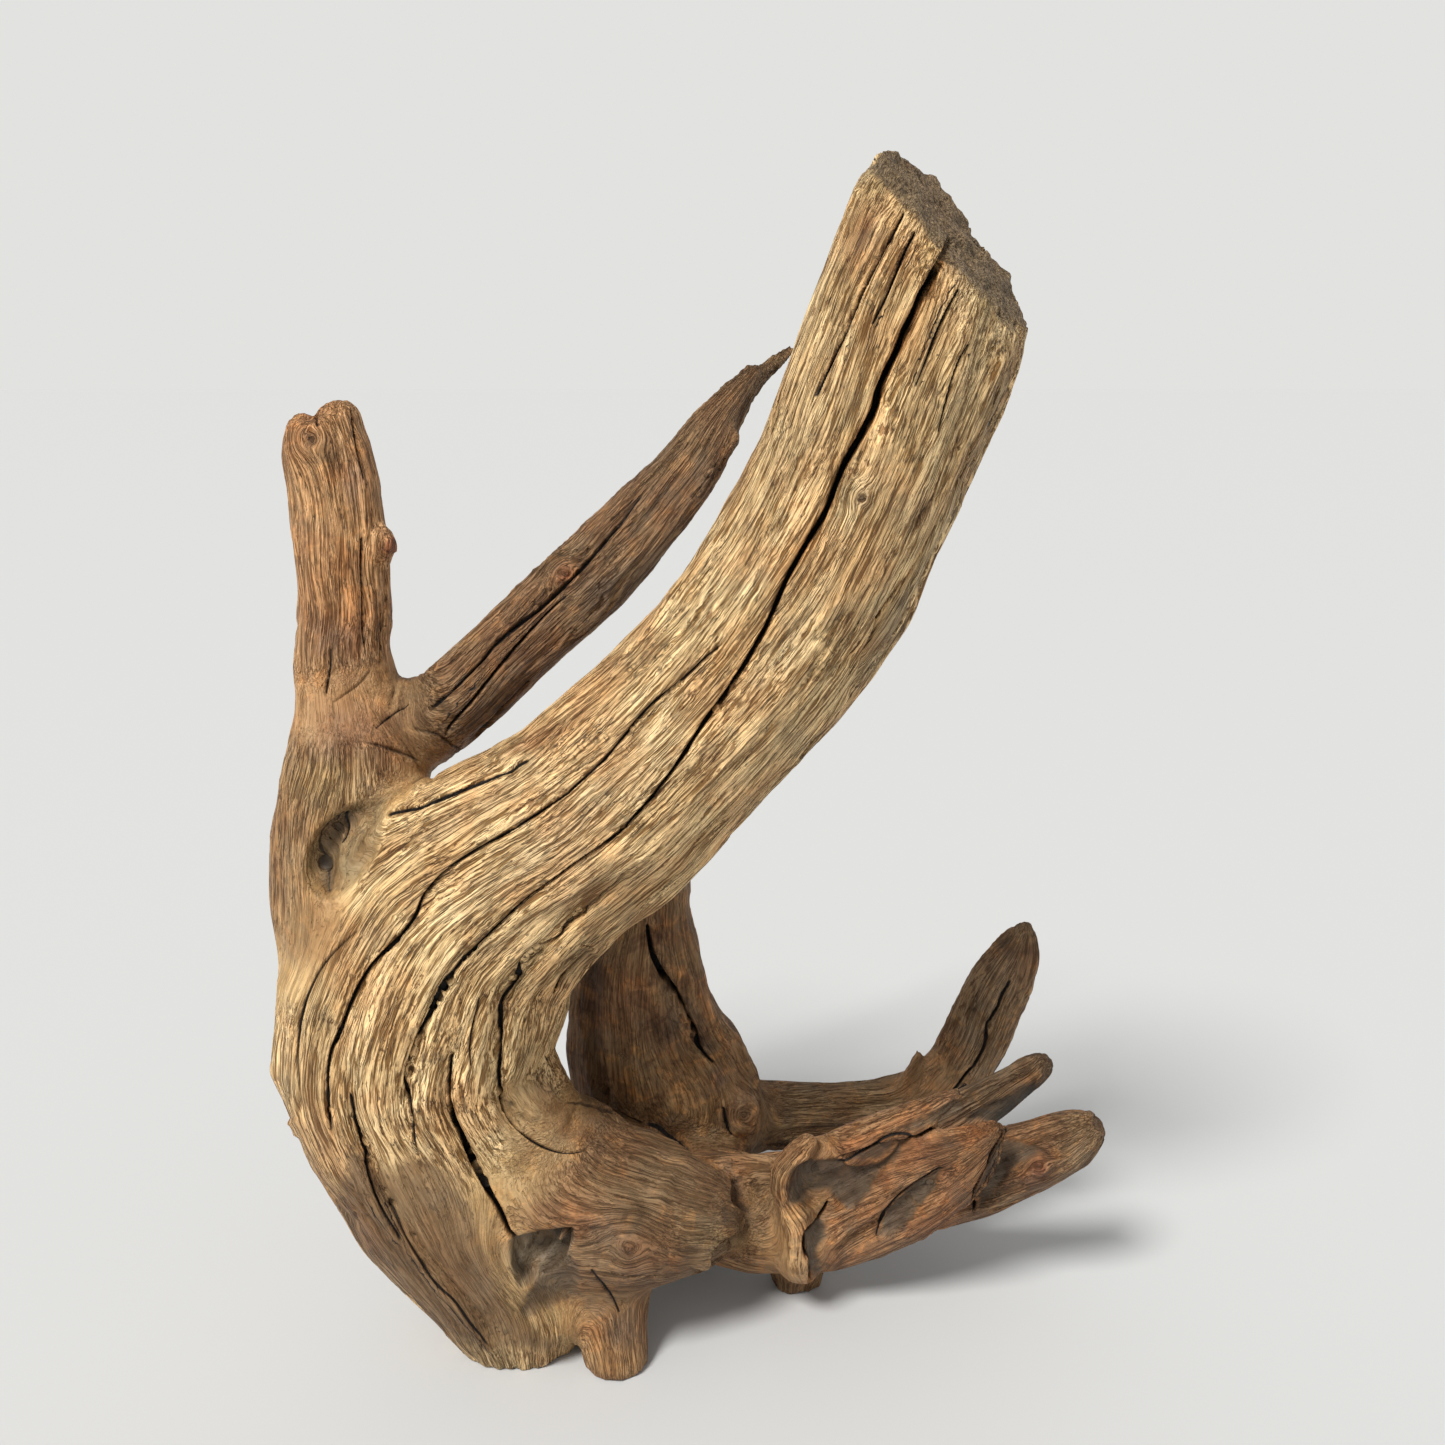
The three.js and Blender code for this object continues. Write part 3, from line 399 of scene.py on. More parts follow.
# Sunken places seen from the front: an outline in picture points, a depth in millimetres, how
# wide the slope at its rim is in picture points, and its colour.
frontSockets = {
    "eye": {"on": ("shoulder", "trunk"), "depth": 4.4, "slope": 13, "colour": (0.25, 0.195, 0.10),
        "cover": 0.6, "calm": 0.7,
        "outline": [(387, 798), (360, 800), (338, 808), (318, 824), (306, 846), (303, 868), (308, 888),
        (320, 902), (340, 898), (360, 880), (375, 858), (382, 838)]},
    "eyeDeep": {"on": ("shoulder", "trunk"), "depth": 1.4, "slope": 7, "colour": (0.12, 0.092, 0.052),
        "cover": 0.7,
        "outline": [(350, 811), (334, 824), (323, 842), (318, 864), (319, 884), (326, 896), (332, 880),
        (331, 858), (338, 838), (352, 822)]},
    "leftShade": {"on": ("trunk",), "depth": 0.8, "slope": 6, "colour": (0.15, 0.105, 0.062),
        "cover": 0.7, "calm": 0.6,
        "outline": [(362, 1150), (386, 1192), (406, 1238), (432, 1278), (455, 1301), (472, 1324),
        (490, 1350), (466, 1350), (436, 1322), (400, 1280), (376, 1240), (352, 1190), (346, 1160)]},
    # painted shade: the toe's face is darkened in colour, with no sinking
    "shadedToeFace": {"on": ("trunk",), "depth": 0, "slope": 12, "colour": (0.18, 0.108, 0.05), "cover": 0.75,
        "calm": 0.7,
        "outline": [(334, 1180), (372, 1240), (420, 1300), (470, 1345), (520, 1350), (560, 1340),
        (540, 1330), (500, 1290), (480, 1230), (455, 1180), (420, 1160), (380, 1170)]},
    "bendFace": {"on": ("trunk", "burl"), "depth": 0, "slope": 14, "colour": (0.34, 0.22, 0.105),
        "cover": 0.5, "calm": 0.85,
        "outline": [(498, 1090), (520, 1078), (552, 1092), (578, 1120), (572, 1150), (548, 1166),
        (518, 1160), (498, 1130)]},
    "knothole": {"on": ("burl", "trunk", "nub"), "depth": 7, "slope": 9, "colour": (0.13, 0.105, 0.07),
        "cover": 0.85,
        "outline": [(508, 1240), (524, 1234), (548, 1230), (574, 1227), (574, 1240), (568, 1252),
        (556, 1268), (536, 1284), (520, 1288), (512, 1270)]},
    # painted shadow: the top of the knothole, under its rim, is painted near black
    "knotholeShadow": {"on": ("burl", "trunk", "nub"), "depth": 3, "slope": 6,
        "colour": (0.03, 0.024, 0.018), "cover": 0.8,
        "outline": [(534, 1236), (552, 1231), (574, 1229), (573, 1246), (562, 1248), (548, 1244)]},
    "knotholeFoot": {"on": ("burl", "trunk", "nub"), "depth": 2.2, "slope": 10,
        "colour": (0.105, 0.082, 0.054), "cover": 0.8, "calm": 0.8,
        "outline": [(545, 1262), (568, 1252), (580, 1272), (578, 1294), (556, 1308), (530, 1318),
        (519, 1308), (530, 1288)]},
    "innerRecess": {"on": ("trunk", "burl"), "depth": 2.4, "slope": 6, "colour": (0.2, 0.12, 0.055),
        "cover": 0.5,
        "outline": [(562, 964), (580, 950), (598, 956), (590, 970), (574, 984), (562, 992), (556, 980)]},
    "armBasin": {"on": ("frontRoot", "crownCurl", "upperFlake"), "depth": 2.6, "slope": 4,
        "colour": greyWood, "cover": 0.9, "calm": 1,
        "outline": [(793, 1184), (800, 1167), (812, 1161), (836, 1159), (850, 1166), (866, 1166),
        (880, 1162), (892, 1153), (902, 1140), (912, 1136), (899, 1154), (889, 1167), (878, 1179),
        (869, 1192), (860, 1203), (850, 1212), (838, 1207), (828, 1194), (814, 1194), (802, 1204),
        (788, 1206), (789, 1194)]},
    "armChannel": {"on": ("frontRoot", "upperFlake", "lowProng"), "depth": 3.0, "slope": 4,
        "colour": greyWood, "cover": 0.9, "calm": 1,
        "outline": [(876, 1234), (879, 1222), (892, 1204), (909, 1189), (924, 1179), (944, 1168),
        (939, 1180), (936, 1192), (924, 1204), (914, 1219), (902, 1229), (890, 1236)]},
    "armPocket": {"on": ("frontRoot", "crownCurl", "armFoot"), "depth": 2.2, "slope": 4,
        "colour": greyWood, "cover": 0.9, "calm": 1,
        "outline": [(811, 1226), (820, 1217), (826, 1227), (826, 1240), (822, 1252), (822, 1268),
        (813, 1276), (810, 1260), (804, 1251), (803, 1240)]},
    "flakeGrey": {"on": ("frontRoot", "upperFlake", "crownCurl"), "depth": 1.0, "slope": 4,
        "colour": greyWood, "cover": 0.8, "calm": 1,
        "outline": [(850, 1162), (864, 1150), (880, 1142), (898, 1138), (890, 1153), (874, 1162)]},
    "flakeFace": {"on": ("frontRoot", "upperFlake", "middleProng"), "depth": 1.0, "slope": 4,
        "colour": (0.13, 0.098, 0.062), "cover": 0.8, "calm": 0.8,
        "outline": [(894, 1128), (914, 1120), (938, 1110), (958, 1099), (964, 1108), (951, 1120),
        (929, 1126), (911, 1133)]},
    "lowProngTop": {"on": ("lowProng", "frontRoot"), "depth": 1.6, "slope": 5, "colour": greyWood,
        "cover": 0.85, "calm": 1,
        "outline": [(991, 1160), (999, 1145), (1012, 1137), (1034, 1144), (1047, 1154), (1030, 1160),
        (1012, 1172), (1001, 1189), (988, 1205), (977, 1210), (979, 1190)]},
    # painted shade: the middle prong's side, behind the flake and the low prong, is painted near black
    "middleProngSideShade": {"on": ("middleProng",), "depth": 0.8, "slope": 4, "colour": (0.05, 0.042, 0.032),
        "cover": 0.85, "calm": 1,
        "outline": [(964, 1120), (979, 1107), (991, 1102), (1009, 1095), (1036, 1080), (1036, 1093),
        (1021, 1112), (1009, 1127), (996, 1124)]},
}

# The rough broken end of the trunk as the front shows it, in picture points.
brokenEdge = [(863, 165), (885, 149), (905, 155), (937, 190), (970, 222), (1000, 262), (1034, 304),
    (1040, 330), (1026, 316), (1009, 300), (993, 290), (983, 279), (963, 253), (959, 236), (948, 240),
    (928, 227), (905, 207)]

# Knots seen from the front, where the grain turns in rings: place, radius and height in
# millimetres, with the colours of ring and heart.
frontKnots = {
    "stubKnot": {"at": (312, 439), "radius": 15, "height": 1.0, "ring": (0.3, 0.15, 0.06),
        "heart": (0.12, 0.07, 0.035)},
    "trunkKnot": {"at": (863, 499), "radius": 10, "height": 0.8, "ring": (0.32, 0.2, 0.1),
        "heart": (0.12, 0.085, 0.07)},
    "crownKnot": {"at": (745, 1116), "radius": 20, "height": 1.4, "ring": (0.22, 0.12, 0.055),
        "heart": (0.14, 0.085, 0.045)},
    "burlKnot": {"at": (629, 1250), "radius": 24, "height": 0.4, "ring": (0.24, 0.13, 0.06),
        "heart": (0.2, 0.105, 0.05)},
    "branchKnot": {"at": (565, 574), "radius": 13, "height": 1.0, "ring": (0.3, 0.13, 0.06),
        "heart": (0.22, 0.09, 0.045)},
    "armKnot": {"at": (1039, 1167), "radius": 10, "height": 1.2, "ring": (0.3, 0.11, 0.05),
        "heart": (0.2, 0.08, 0.04)},
}

# Checks on the sides that the picture does not show: the limb, the angle round it from the right
# by way of the back, the stretch of its length in millimetres, the half width and the depth.
hiddenCracks = [
    ("trunk", 84, 60, 470, 1.2, 8.0), ("trunk", 52, 180, 420, 0.8, 4.0),
    ("trunk", 122, 300, 690, 1.0, 6.0), ("trunk", 20, 330, 600, 0.8, 4.0),
    ("trunk", 150, 90, 330, 0.8, 4.0), ("trunk", 66, 480, 720, 0.9, 5.0),
    ("shoulder", 118, 20, 150, 0.9, 4.0), ("stub", 70, 10, 130, 0.8, 4.0),
    ("stub", 160, 30, 110, 0.6, 3.0), ("branch", 85, 40, 210, 0.8, 4.0),
    ("branch", 30, 60, 170, 0.6, 2.5), ("rearRoot", 80, 60, 230, 1.2, 7.0),
    ("rearRoot", 35, 90, 240, 0.8, 4.0), ("rearRoot", 140, 50, 200, 0.8, 4.0),
    ("burl", 70, 20, 120, 1.0, 4.0), ("frontRoot", 80, 40, 150, 0.8, 4.0),
    ("frontRoot", 20, 60, 160, 0.7, 3.0), ("lowProng", 80, 30, 110, 0.7, 3.0),
    ("backArm", 85, 30, 140, 0.9, 4.0), ("backArm", -60, 40, 130, 0.8, 3.0),
    ("backProng", 90, 20, 120, 0.7, 3.0), ("backProng", -80, 30, 120, 0.7, 2.5),
    ("middleProng", 80, 20, 90, 0.6, 2.0),
]

# Patches of another colour: a place in picture points, two radii, the lean of the long
# one, a colour and how strongly it covers.
stainPatches = {
    "redByTheBreak": (868, 225, 14, 42, 25, (0.34, 0.14, 0.05), 0.55),
    "greenTintHigh": (876, 179, 10, 22, 20, (0.36, 0.3, 0.13), 0.5),
    "greenTintMiddle": (924, 257, 10, 30, 20, (0.36, 0.3, 0.13), 0.45),
    "greenTintLow": (991, 300, 12, 34, 20, (0.33, 0.27, 0.12), 0.45),
    # painted shade: the trunk's right face, turned away from the light, is darkened
    "shadedRightFace": (1000, 400, 14, 50, 24, (0.2, 0.13, 0.065), 0.55),
    "redTrunkEdge": (535, 742, 60, 9, -30, (0.36, 0.17, 0.07), 0.6),
    "brownAboveBend": (440, 830, 60, 14, -25, (0.3, 0.17, 0.08), 0.4),
    "speckledMiddle": (665, 762, 20, 10, -45, (0.25, 0.17, 0.08), 0.5),
    "paleShelf": (590, 800, 70, 26, -38, (0.6, 0.43, 0.22), 0.5),
    "paleBend": (540, 860, 70, 22, -35, (0.56, 0.4, 0.2), 0.45),
    "oliveShoulder": (326, 780, 30, 30, 0, (0.38, 0.29, 0.12), 0.45),
    "purpleShoulder": (349, 727, 40, 25, 0, (0.24, 0.14, 0.095), 0.5),
    "purpleStubFoot": (335, 640, 40, 26, 0, (0.24, 0.14, 0.095), 0.7),
    "brownStubFoot": (345, 668, 40, 20, 0, (0.3, 0.17, 0.08), 0.5),
    "oliveUnderKnot": (332, 455, 14, 18, 0, (0.14, 0.10, 0.05), 0.65),
    "purpleStubTop": (355, 483, 10, 26, 0, (0.2, 0.12, 0.085), 0.55),
    "stubKnob": (390, 544, 12, 14, 0, (0.3, 0.1, 0.045), 0.6),
    "branchGrey": (603, 588, 10, 30, 40, (0.07, 0.055, 0.04), 0.7),
    "branchFoot": (480, 716, 34, 18, -48, (0.11, 0.08, 0.045), 0.6),
    "lowerLeft": (320, 1080, 40, 90, -8, (0.4, 0.245, 0.1), 0.5),
    # painted shade: the underside by the toe and on the lower left, facing down, is darkened
    "shadedUndersideToe": (392, 1270, 26, 90, -38, (0.19, 0.11, 0.05), 0.8),
    "shadedUndersideLeft": (366, 1222, 34, 70, -32, (0.30, 0.185, 0.085), 0.75),
    "armLow": (885, 1245, 60, 16, -20, (0.15, 0.088, 0.04), 0.85),
    "stubSeamShade": (350, 745, 70, 16, 6, (0.27, 0.165, 0.09), 0.5),
    "shoulderLow": (318, 935, 44, 40, 0, (0.34, 0.21, 0.092), 0.55),
    "crownLight": (725, 1130, 40, 24, 0, (0.27, 0.18, 0.09), 0.6),
    "legFoot": (655, 1075, 50, 30, 0, (0.34, 0.22, 0.1), 0.6),
    # painted shade: the toe near the floor is darkened in colour
    "shadedToe": (462, 1285, 56, 84, -20, (0.19, 0.105, 0.045), 0.9),
    "toeLow": (440, 1210, 40, 60, -30, (0.3, 0.175, 0.075), 0.5),
    "bendBrown": (540, 1110, 40, 50, 0, (0.3, 0.19, 0.085), 0.5),
    # painted shadow: the shade under the burl, darkened in colour
    "shadowUnderBurl": (640, 1290, 50, 20, 0, (0.17, 0.095, 0.045), 0.5),
    "burlRed": (585, 1215, 34, 16, 10, (0.27, 0.14, 0.066), 0.5),
    "burlOlive": (640, 1190, 30, 34, 0, (0.2, 0.145, 0.075), 0.5),
    "burlLight": (575, 1190, 30, 14, 25, (0.36, 0.23, 0.105), 0.45),
    "burlRightLight": (695, 1235, 22, 26, 0, (0.34, 0.235, 0.115), 0.45),
    "neckOlive": (765, 1190, 30, 34, 0, (0.2, 0.145, 0.07), 0.5),
    "neckTan": (745, 1245, 44, 16, 15, (0.36, 0.24, 0.1), 0.55),
    "nubGrey": (625, 1332, 14, 14, 0, (0.15, 0.11, 0.075), 0.6),
    # painted shade: a near-black strip on the leg where it passes behind the trunk
    "legLeftShade": (594, 1020, 12, 90, 0, (0.05, 0.026, 0.014), 0.75),
    "legGrey": (667, 1035, 18, 24, 0, (0.09, 0.075, 0.055), 0.6),
    "legRed": (625, 1005, 26, 30, 20, (0.22, 0.1, 0.045), 0.5),
    "legLow": (650, 1078, 40, 22, 0, (0.26, 0.165, 0.07), 0.55),
    "legPurple": (715, 1080, 9, 9, 0, (0.09, 0.06, 0.055), 0.7),
    "legFootTan": (700, 1092, 30, 16, 30, (0.34, 0.2, 0.08), 0.5),
    "crownTan": (760, 1130, 16, 16, 0, (0.38, 0.24, 0.1), 0.5),
    "armPlate": (956, 1194, 32, 22, -45, orangeWood, 0.75),
    "prongPurple": (1032, 1185, 14, 12, 0, (0.14, 0.09, 0.075), 0.6),
    "prongTip": (1082, 1146, 22, 30, 0, (0.36, 0.24, 0.12), 0.6),
    "prongLow": (1010, 1200, 34, 8, -25, (0.34, 0.22, 0.1), 0.5),
    "middleTip": (1030, 1066, 16, 12, -30, (0.3, 0.2, 0.1), 0.6),
    "bladeDark": (985, 1000, 20, 60, 30, (0.09, 0.062, 0.036), 0.5),
}

materialSet = {
    "trunk_wood": {"fleck": 0.5, "contrast": 1.0, "roughness": 0.6},
    "stub_wood": {"fleck": 0.45, "contrast": 0.9, "roughness": 0.62},
    "branch_wood": {"fleck": 0.55, "contrast": 0.95, "roughness": 0.64},
    "rear_root_wood": {"fleck": 0.65, "contrast": 0.9, "roughness": 0.68},
    "front_root_wood": {"fleck": 0.6, "contrast": 0.95, "roughness": 0.64},
    "back_root_wood": {"fleck": 0.55, "contrast": 0.9, "roughness": 0.68},
}

# The grain's waves: their length along the limb and their two widths across it, in millimetres.
grainWaves = {
    "flutes": (95, 13, 13),
    "ridges": (48, 5.2, 5.2),
    "fineRidges": (22, 2.6, 2.6),
    "checks": (60, 7.5, 7.5),
    "checkPatches": (40, 22, 22),
}

# What the wood's own colour is multiplied by, and the colours that lie over it; some of these are painted
# shade and painted highlight, as marked.
woodTints = {
    "paler": (1.14, 1.14, 1.17),
    "browner": (0.84, 0.77, 0.7),
    "paleSpot": (1.75, 1.5, 1.2),
    "deepSpot": (0.5, 0.42, 0.38),
    # the next two are partly the fibres' own dark and pale and partly painted shade in their grooves and
    # painted highlight on their ridges
    "dullAndShaded": (0.38, 0.30, 0.2),
    "brightAndLit": (1.5, 1.58, 1.8),
    "redder": (0.84, 0.68, 0.58),
    "speckled": (0.34, 0.24, 0.17),
    # paler on edges: partly wear, partly painted highlight
    "wearAndHighlight": (1.4, 1.38, 1.35),
    # painted shade beside the cracks
    "shadeBesideCrack": (0.62, 0.54, 0.46),
}
woodPaints = {
    "weathered": (0.2, 0.16, 0.11),
    "fineLine": (0.085, 0.048, 0.02),
    # painted shade, laid into the skin's hollows
    "hollow": (0.06, 0.036, 0.018),
    "crumbDark": (0.085, 0.055, 0.03),
    "crumbPale": (0.36, 0.26, 0.16),
    # painted shade: near black in the cracks' gaps
    "crack": (0.007, 0.005, 0.004),
}

# The weather's patterns: scale, detail, roughness, distortion, where it starts and where it is full.
weatherSet = {
    "Stain": (26.0, 3.0, 0.6, 0.0, 0.40, 0.66),
    "Grey": (41.0, 4.0, 0.6, 0.0, 0.52, 0.72),
    "Grit": (640.0, 3.0, 0.65, 0.0, None, None),
    "Pale": (95.0, 5.0, 0.66, 0.6, 0.50, 0.66),
    "Deep": (60.0, 5.0, 0.62, 0.8, 0.50, 0.66),
}

noiseSize = 256  # a power of two
rng = np.random.default_rng(11)
slopes = rng.normal(size=(noiseSize, 3))
slopes /= np.linalg.norm(slopes, axis=1)[:, None]
shuffled = rng.permutation(noiseSize)


def grainNoise(places, seed=0):
    # smooth noise from about -1 to 1 at each place
    places = places + seed * 17.31
    cell = np.floor(places).astype(np.int64)
    part = places - cell
    ease = part * part * part * (part * (part * 6 - 15) + 10)
    total = np.zeros(len(places))
    last = noiseSize - 1
    for dx in (0, 1):
        wx = ease[:, 0] if dx else 1 - ease[:, 0]
        hx = shuffled[(cell[:, 0] + dx) & last]
        for dy in (0, 1):
            wxy = wx * (ease[:, 1] if dy else 1 - ease[:, 1])
            hy = shuffled[(hx + cell[:, 1] + dy) & last]
            for dz in (0, 1):
                slope = slopes[shuffled[(hy + cell[:, 2] + dz) & last]]
                rise = (part[:, 0] - dx) * slope[:, 0] + (part[:, 1] - dy) * slope[:, 1]
                rise += (part[:, 2] - dz) * slope[:, 2]
                total += wxy * (ease[:, 2] if dz else 1 - ease[:, 2]) * rise
    return total * 1.7


def noiseVectors(places, *seeds):
    return np.stack([grainNoise(places, seed) for seed in seeds], 1)


def smoothStep(low, high, value):
    share = np.clip((value - low) / (high - low), 0, 1)
    return share * share * (3 - 2 * share)


def toPicture(places):
    # millimetres to picture points
    ray = places - cameraPlace
    far = ray @ lookDirection
    middle = cameraSet["picture"] / 2
    across = middle + pointsPerSlope * ray[:, 0] / far
    down = middle - pointsPerSlope * (ray @ upDirection) / far
    return np.stack((across, down), 1)


def readFlat(source, field, width, kind=np.float32):
    flat = np.empty(len(source) * width, kind)
    source.foreach_get(field, flat)
    return flat.reshape(-1, width)


def readPlaces(mesh):
    return readFlat(mesh.vertices, "co", 3).astype(float) * 1000


def writePlaces(mesh, places):
    mesh.vertices.foreach_set("co", (places / 1000).astype(np.float32).ravel())
    mesh.update()


def readNormals(mesh):
    return readFlat(mesh.vertex_normals, "vector", 3).astype(float)


def readEdges(mesh):
    return readFlat(mesh.edges, "vertices", 2, np.int32)


def neighbourMean(values, edges):
    count = np.bincount(edges.ravel(), minlength=len(values))
    out = np.empty_like(values)
    for k in range(values.shape[1]):
        column = values[:, k]
        out[:, k] = np.bincount(edges[:, 0], column[edges[:, 1]], len(values))
        out[:, k] += np.bincount(edges[:, 1], column[edges[:, 0]], len(values))
    return out / np.maximum(count, 1)[:, None]


def storeAttribute(mesh, name, kind, values):
    layer = mesh.attributes.get(name) or mesh.attributes.new(name, kind, "POINT")
    field = {"FLOAT": "value", "FLOAT_VECTOR": "vector", "FLOAT_COLOR": "color"}[kind]
    layer.data.foreach_set(field, values.astype(np.float32).ravel())


def fetchAttribute(mesh, name, width=1):
    field = {1: "value", 3: "vector"}[width]
    values = readFlat(mesh.attributes[name].data, field, width).astype(float)
    return values[:, 0] if width == 1 else values


def linkedObject(name, data):
    thing = bpy.data.objects.new(name, data)
    bpy.context.scene.collection.objects.link(thing)
    return thing


def finished(holder):
    # the mesh of an object once its modifiers have worked on it
    graph = bpy.context.evaluated_depsgraph_get()
    shown = holder.evaluated_get(graph)
    result = bpy.data.meshes.new_from_object(shown, preserve_all_data_layers=True, depsgraph=graph)
    bpy.data.objects.remove(holder)
    return result


def applied(mesh, kind, **settings):
    # the mesh once a modifier of this kind has worked on it
    holder = linkedObject("holder", mesh)
    modifier = holder.modifiers.new("step", kind)
    for key, value in settings.items():
        setattr(modifier, key, value)
    result = finished(holder)
    bpy.data.meshes.remove(mesh)
    return result


def joinedSolids():
    whole = bmesh.new()
    for node in frame["nodes"].values():
        solid = bmesh.new()
        solid.from_mesh(node.data)
        bmesh.ops.remove_doubles(solid, verts=solid.verts, dist=1e-6)
        solid.normal_update()
        for vert in solid.verts:
            vert.co += vert.normal * skinSet["seamFill"]
        copy = bpy.data.meshes.new("copy")
        solid.to_mesh(copy)
        solid.free()
        whole.from_mesh(copy)
        bpy.data.meshes.remove(copy)
    mesh = bpy.data.meshes.new("wood")
    whole.to_mesh(mesh)
    whole.free()
    return mesh


def roundedLine(points, steps=6):
    # a smooth curve through the points
    rows = np.array(points, float)
    padded = np.vstack((2 * rows[0] - rows[1], rows, 2 * rows[-1] - rows[-2]))
    out = []
    for k in range(1, len(padded) - 2):
        a, b, c, d = padded[k - 1:k + 3]
        for step in range(steps):
            t = step / steps
            out.append(0.5 * (2 * b + (c - a) * t + (2 * a - 5 * b + 4 * c - d) * t * t
                              + (3 * b - a - 3 * c + d) * t ** 3))
    out.append(rows[-1])
    return np.array(out)


def lengthsAlong(line):
    return np.concatenate(((0,), np.cumsum(np.linalg.norm(np.diff(line, axis=0), axis=1))))


def sampledLimb(name):
    # points, half sizes, length and directions along a limb's middle line
    line = roundedLine(limbLines[name], 5)
    centre = line[:, :3] + lineShift
    half = np.maximum(line[:, 3:], 3.0)
    length = lengthsAlong(centre)
    along = np.gradient(centre, axis=0)
    along /= np.linalg.norm(along, axis=1)[:, None]
    side = np.cross((0.0, 1.0, 0.0), along)
    side /= np.linalg.norm(side, axis=1)[:, None]
    depth = np.cross(along, side)
    return centre, half, length, along, side, depth


def limbCoordinates(places, name, batch=20000):
    # how far along the limb each place is, how far across in its own half sizes, and how far outside
    line = sampledLimb(name)
    parts = [slicedCoordinates(places[k:k + batch], line) for k in range(0, len(places), batch)]
    at, outside = zip(*parts)
    return np.concatenate(at), np.concatenate(outside)


def slicedCoordinates(places, line):
    centre, half, length, along, side, depth = (part.astype(np.float32) for part in line)
    places = places.astype(np.float32)
    square = (places ** 2).sum(1)[:, None] - 2 * places @ centre.T + (centre ** 2).sum(1)[None]
    nearest = square.min(1)[:, None]
    share = np.exp(-(square - nearest) / (2 * skinSet["lineBlend"] ** 2))
    share /= share.sum(1)[:, None]
    fromLine = (share * (places @ along.T - (centre * along).sum(1)[None] + length[None])).sum(1)
    right = (share * (places @ side.T - (centre * side).sum(1)[None]) / half[:, 0][None]).sum(1)
    back = (share * (places @ depth.T - (centre * depth).sum(1)[None]) / half[:, 1][None]).sum(1)
    size = (share * half.mean(1)[None]).sum(1)
    past = np.maximum(np.maximum(-fromLine, fromLine - length[-1]), 0)
    outside = np.hypot(np.maximum(np.hypot(right, back) - 1, 0) * size, past)
    return np.stack((fromLine, right, back), 1), outside


def onLimbs(share, names):
    # how far each place belongs to these limbs
    return sum(share[limbNames.index(name)] for name in names)


def limbMean(share, key):
    # a value of limbWood, blended where limbs meet
    return sum(np.multiply.outer(share[k], limbWood[name][key]) for k, name in enumerate(limbNames))


def ledGrain(places):
    # each place's share in every limb, and one set of grain coordinates that runs through the forks
    coordinates, outside = {}, []
    for name in limbNames:
        coordinates[name], away = limbCoordinates(places, name)
        outside.append(away)
    outside = np.array(outside)
    share = np.exp(-(outside - outside.min(0)) / skinSet["limbBlend"])
    share /= share.sum(0)
    led = {}
    for k, name in enumerate(limbNames):
        sizes = np.array(limbLines[name])[:, 3:].mean(0)
        scaled = coordinates[name] * np.array((1.0, sizes[0], sizes[1]))
        parent = limbWood[name]["from"]
        if parent:
            shared = share[k] * onLimbs(share, (parent,))
            scaled = scaled + ((led[parent] - scaled) * shared[:, None]).sum(0) / max(shared.sum(), 1e-9)
        led[name] = scaled
    grain = sum(share[k][:, None] * led[name] for k, name in enumerate(limbNames))
    return share, grain


def evenSkin():
    # the solids as one even skin, with their facets and the creases at the forks smoothed
    cell = skinSet["firstCell"] * 1
    mesh = applied(joinedSolids(), "REMESH", mode="VOXEL", voxel_size=cell, adaptivity=0.0)
    edges = readEdges(mesh)
    places = readPlaces(mesh)
    for turn in range(skinSet["evenRounds"]):
        for pull in skinSet["evenPulls"]:
            places += pull * (neighbourMean(places, edges) - places)
    writePlaces(mesh, places)
    share = ledGrain(places)[0]
    crease = smoothStep(0.04, 0.4, 1 - share.max(0))
    for turn in range(skinSet["filletRounds"]):
        normals = readNormals(mesh)
        step = ((neighbourMean(places, edges) - places) * normals).sum(1)
        places += normals * (np.maximum(step, 0) * skinSet["filletPull"] * crease)[:, None]
        if turn % 4 == 3:
            writePlaces(mesh, places)
    writePlaces(mesh, places)
    return mesh


def nearestOnLine(points, line):
    # distance to a line, the side of it and the share of its length
    best = np.full(len(points), 1e9)
    side = np.zeros(len(points))
    share = np.zeros(len(points))
    reach = lengthsAlong(line)
    for k in range(len(line) - 1):
        run = line[k + 1] - line[k]
        size = max(run @ run, 1e-9)
        t = np.clip(((points - line[k]) @ run) / size, 0, 1)
        gap = points - line[k] - t[:, None] * run
        distance = np.hypot(gap[:, 0], gap[:, 1])
        closer = distance < best
        best = np.where(closer, distance, best)
        side = np.where(closer, np.sign(run[0] * gap[:, 1] - run[1] * gap[:, 0]), side)
        share = np.where(closer, (reach[k] + t * math.sqrt(size)) / reach[-1], share)
    return best, side, share


def spread(values, share):
    return np.interp(share, np.linspace(0, 1, len(values)), values)


def nearLine(points, facing, line, margin, least=0.05):
    # the places that face the camera and lie around a line in the picture
    around = (points > line.min(0) - margin) & (points < line.max(0) + margin)
    return around.all(1) & (facing > least)


def crackReach(points, share, facing, crack, margin):
    # the places that a crack seen from the front can touch
    line = roundedLine(crack["line"])
    near = nearLine(points, facing, line, margin, 0.04) & (onLimbs(share, crack["on"]) > 0.35)
    return np.nonzero(near)[0], line


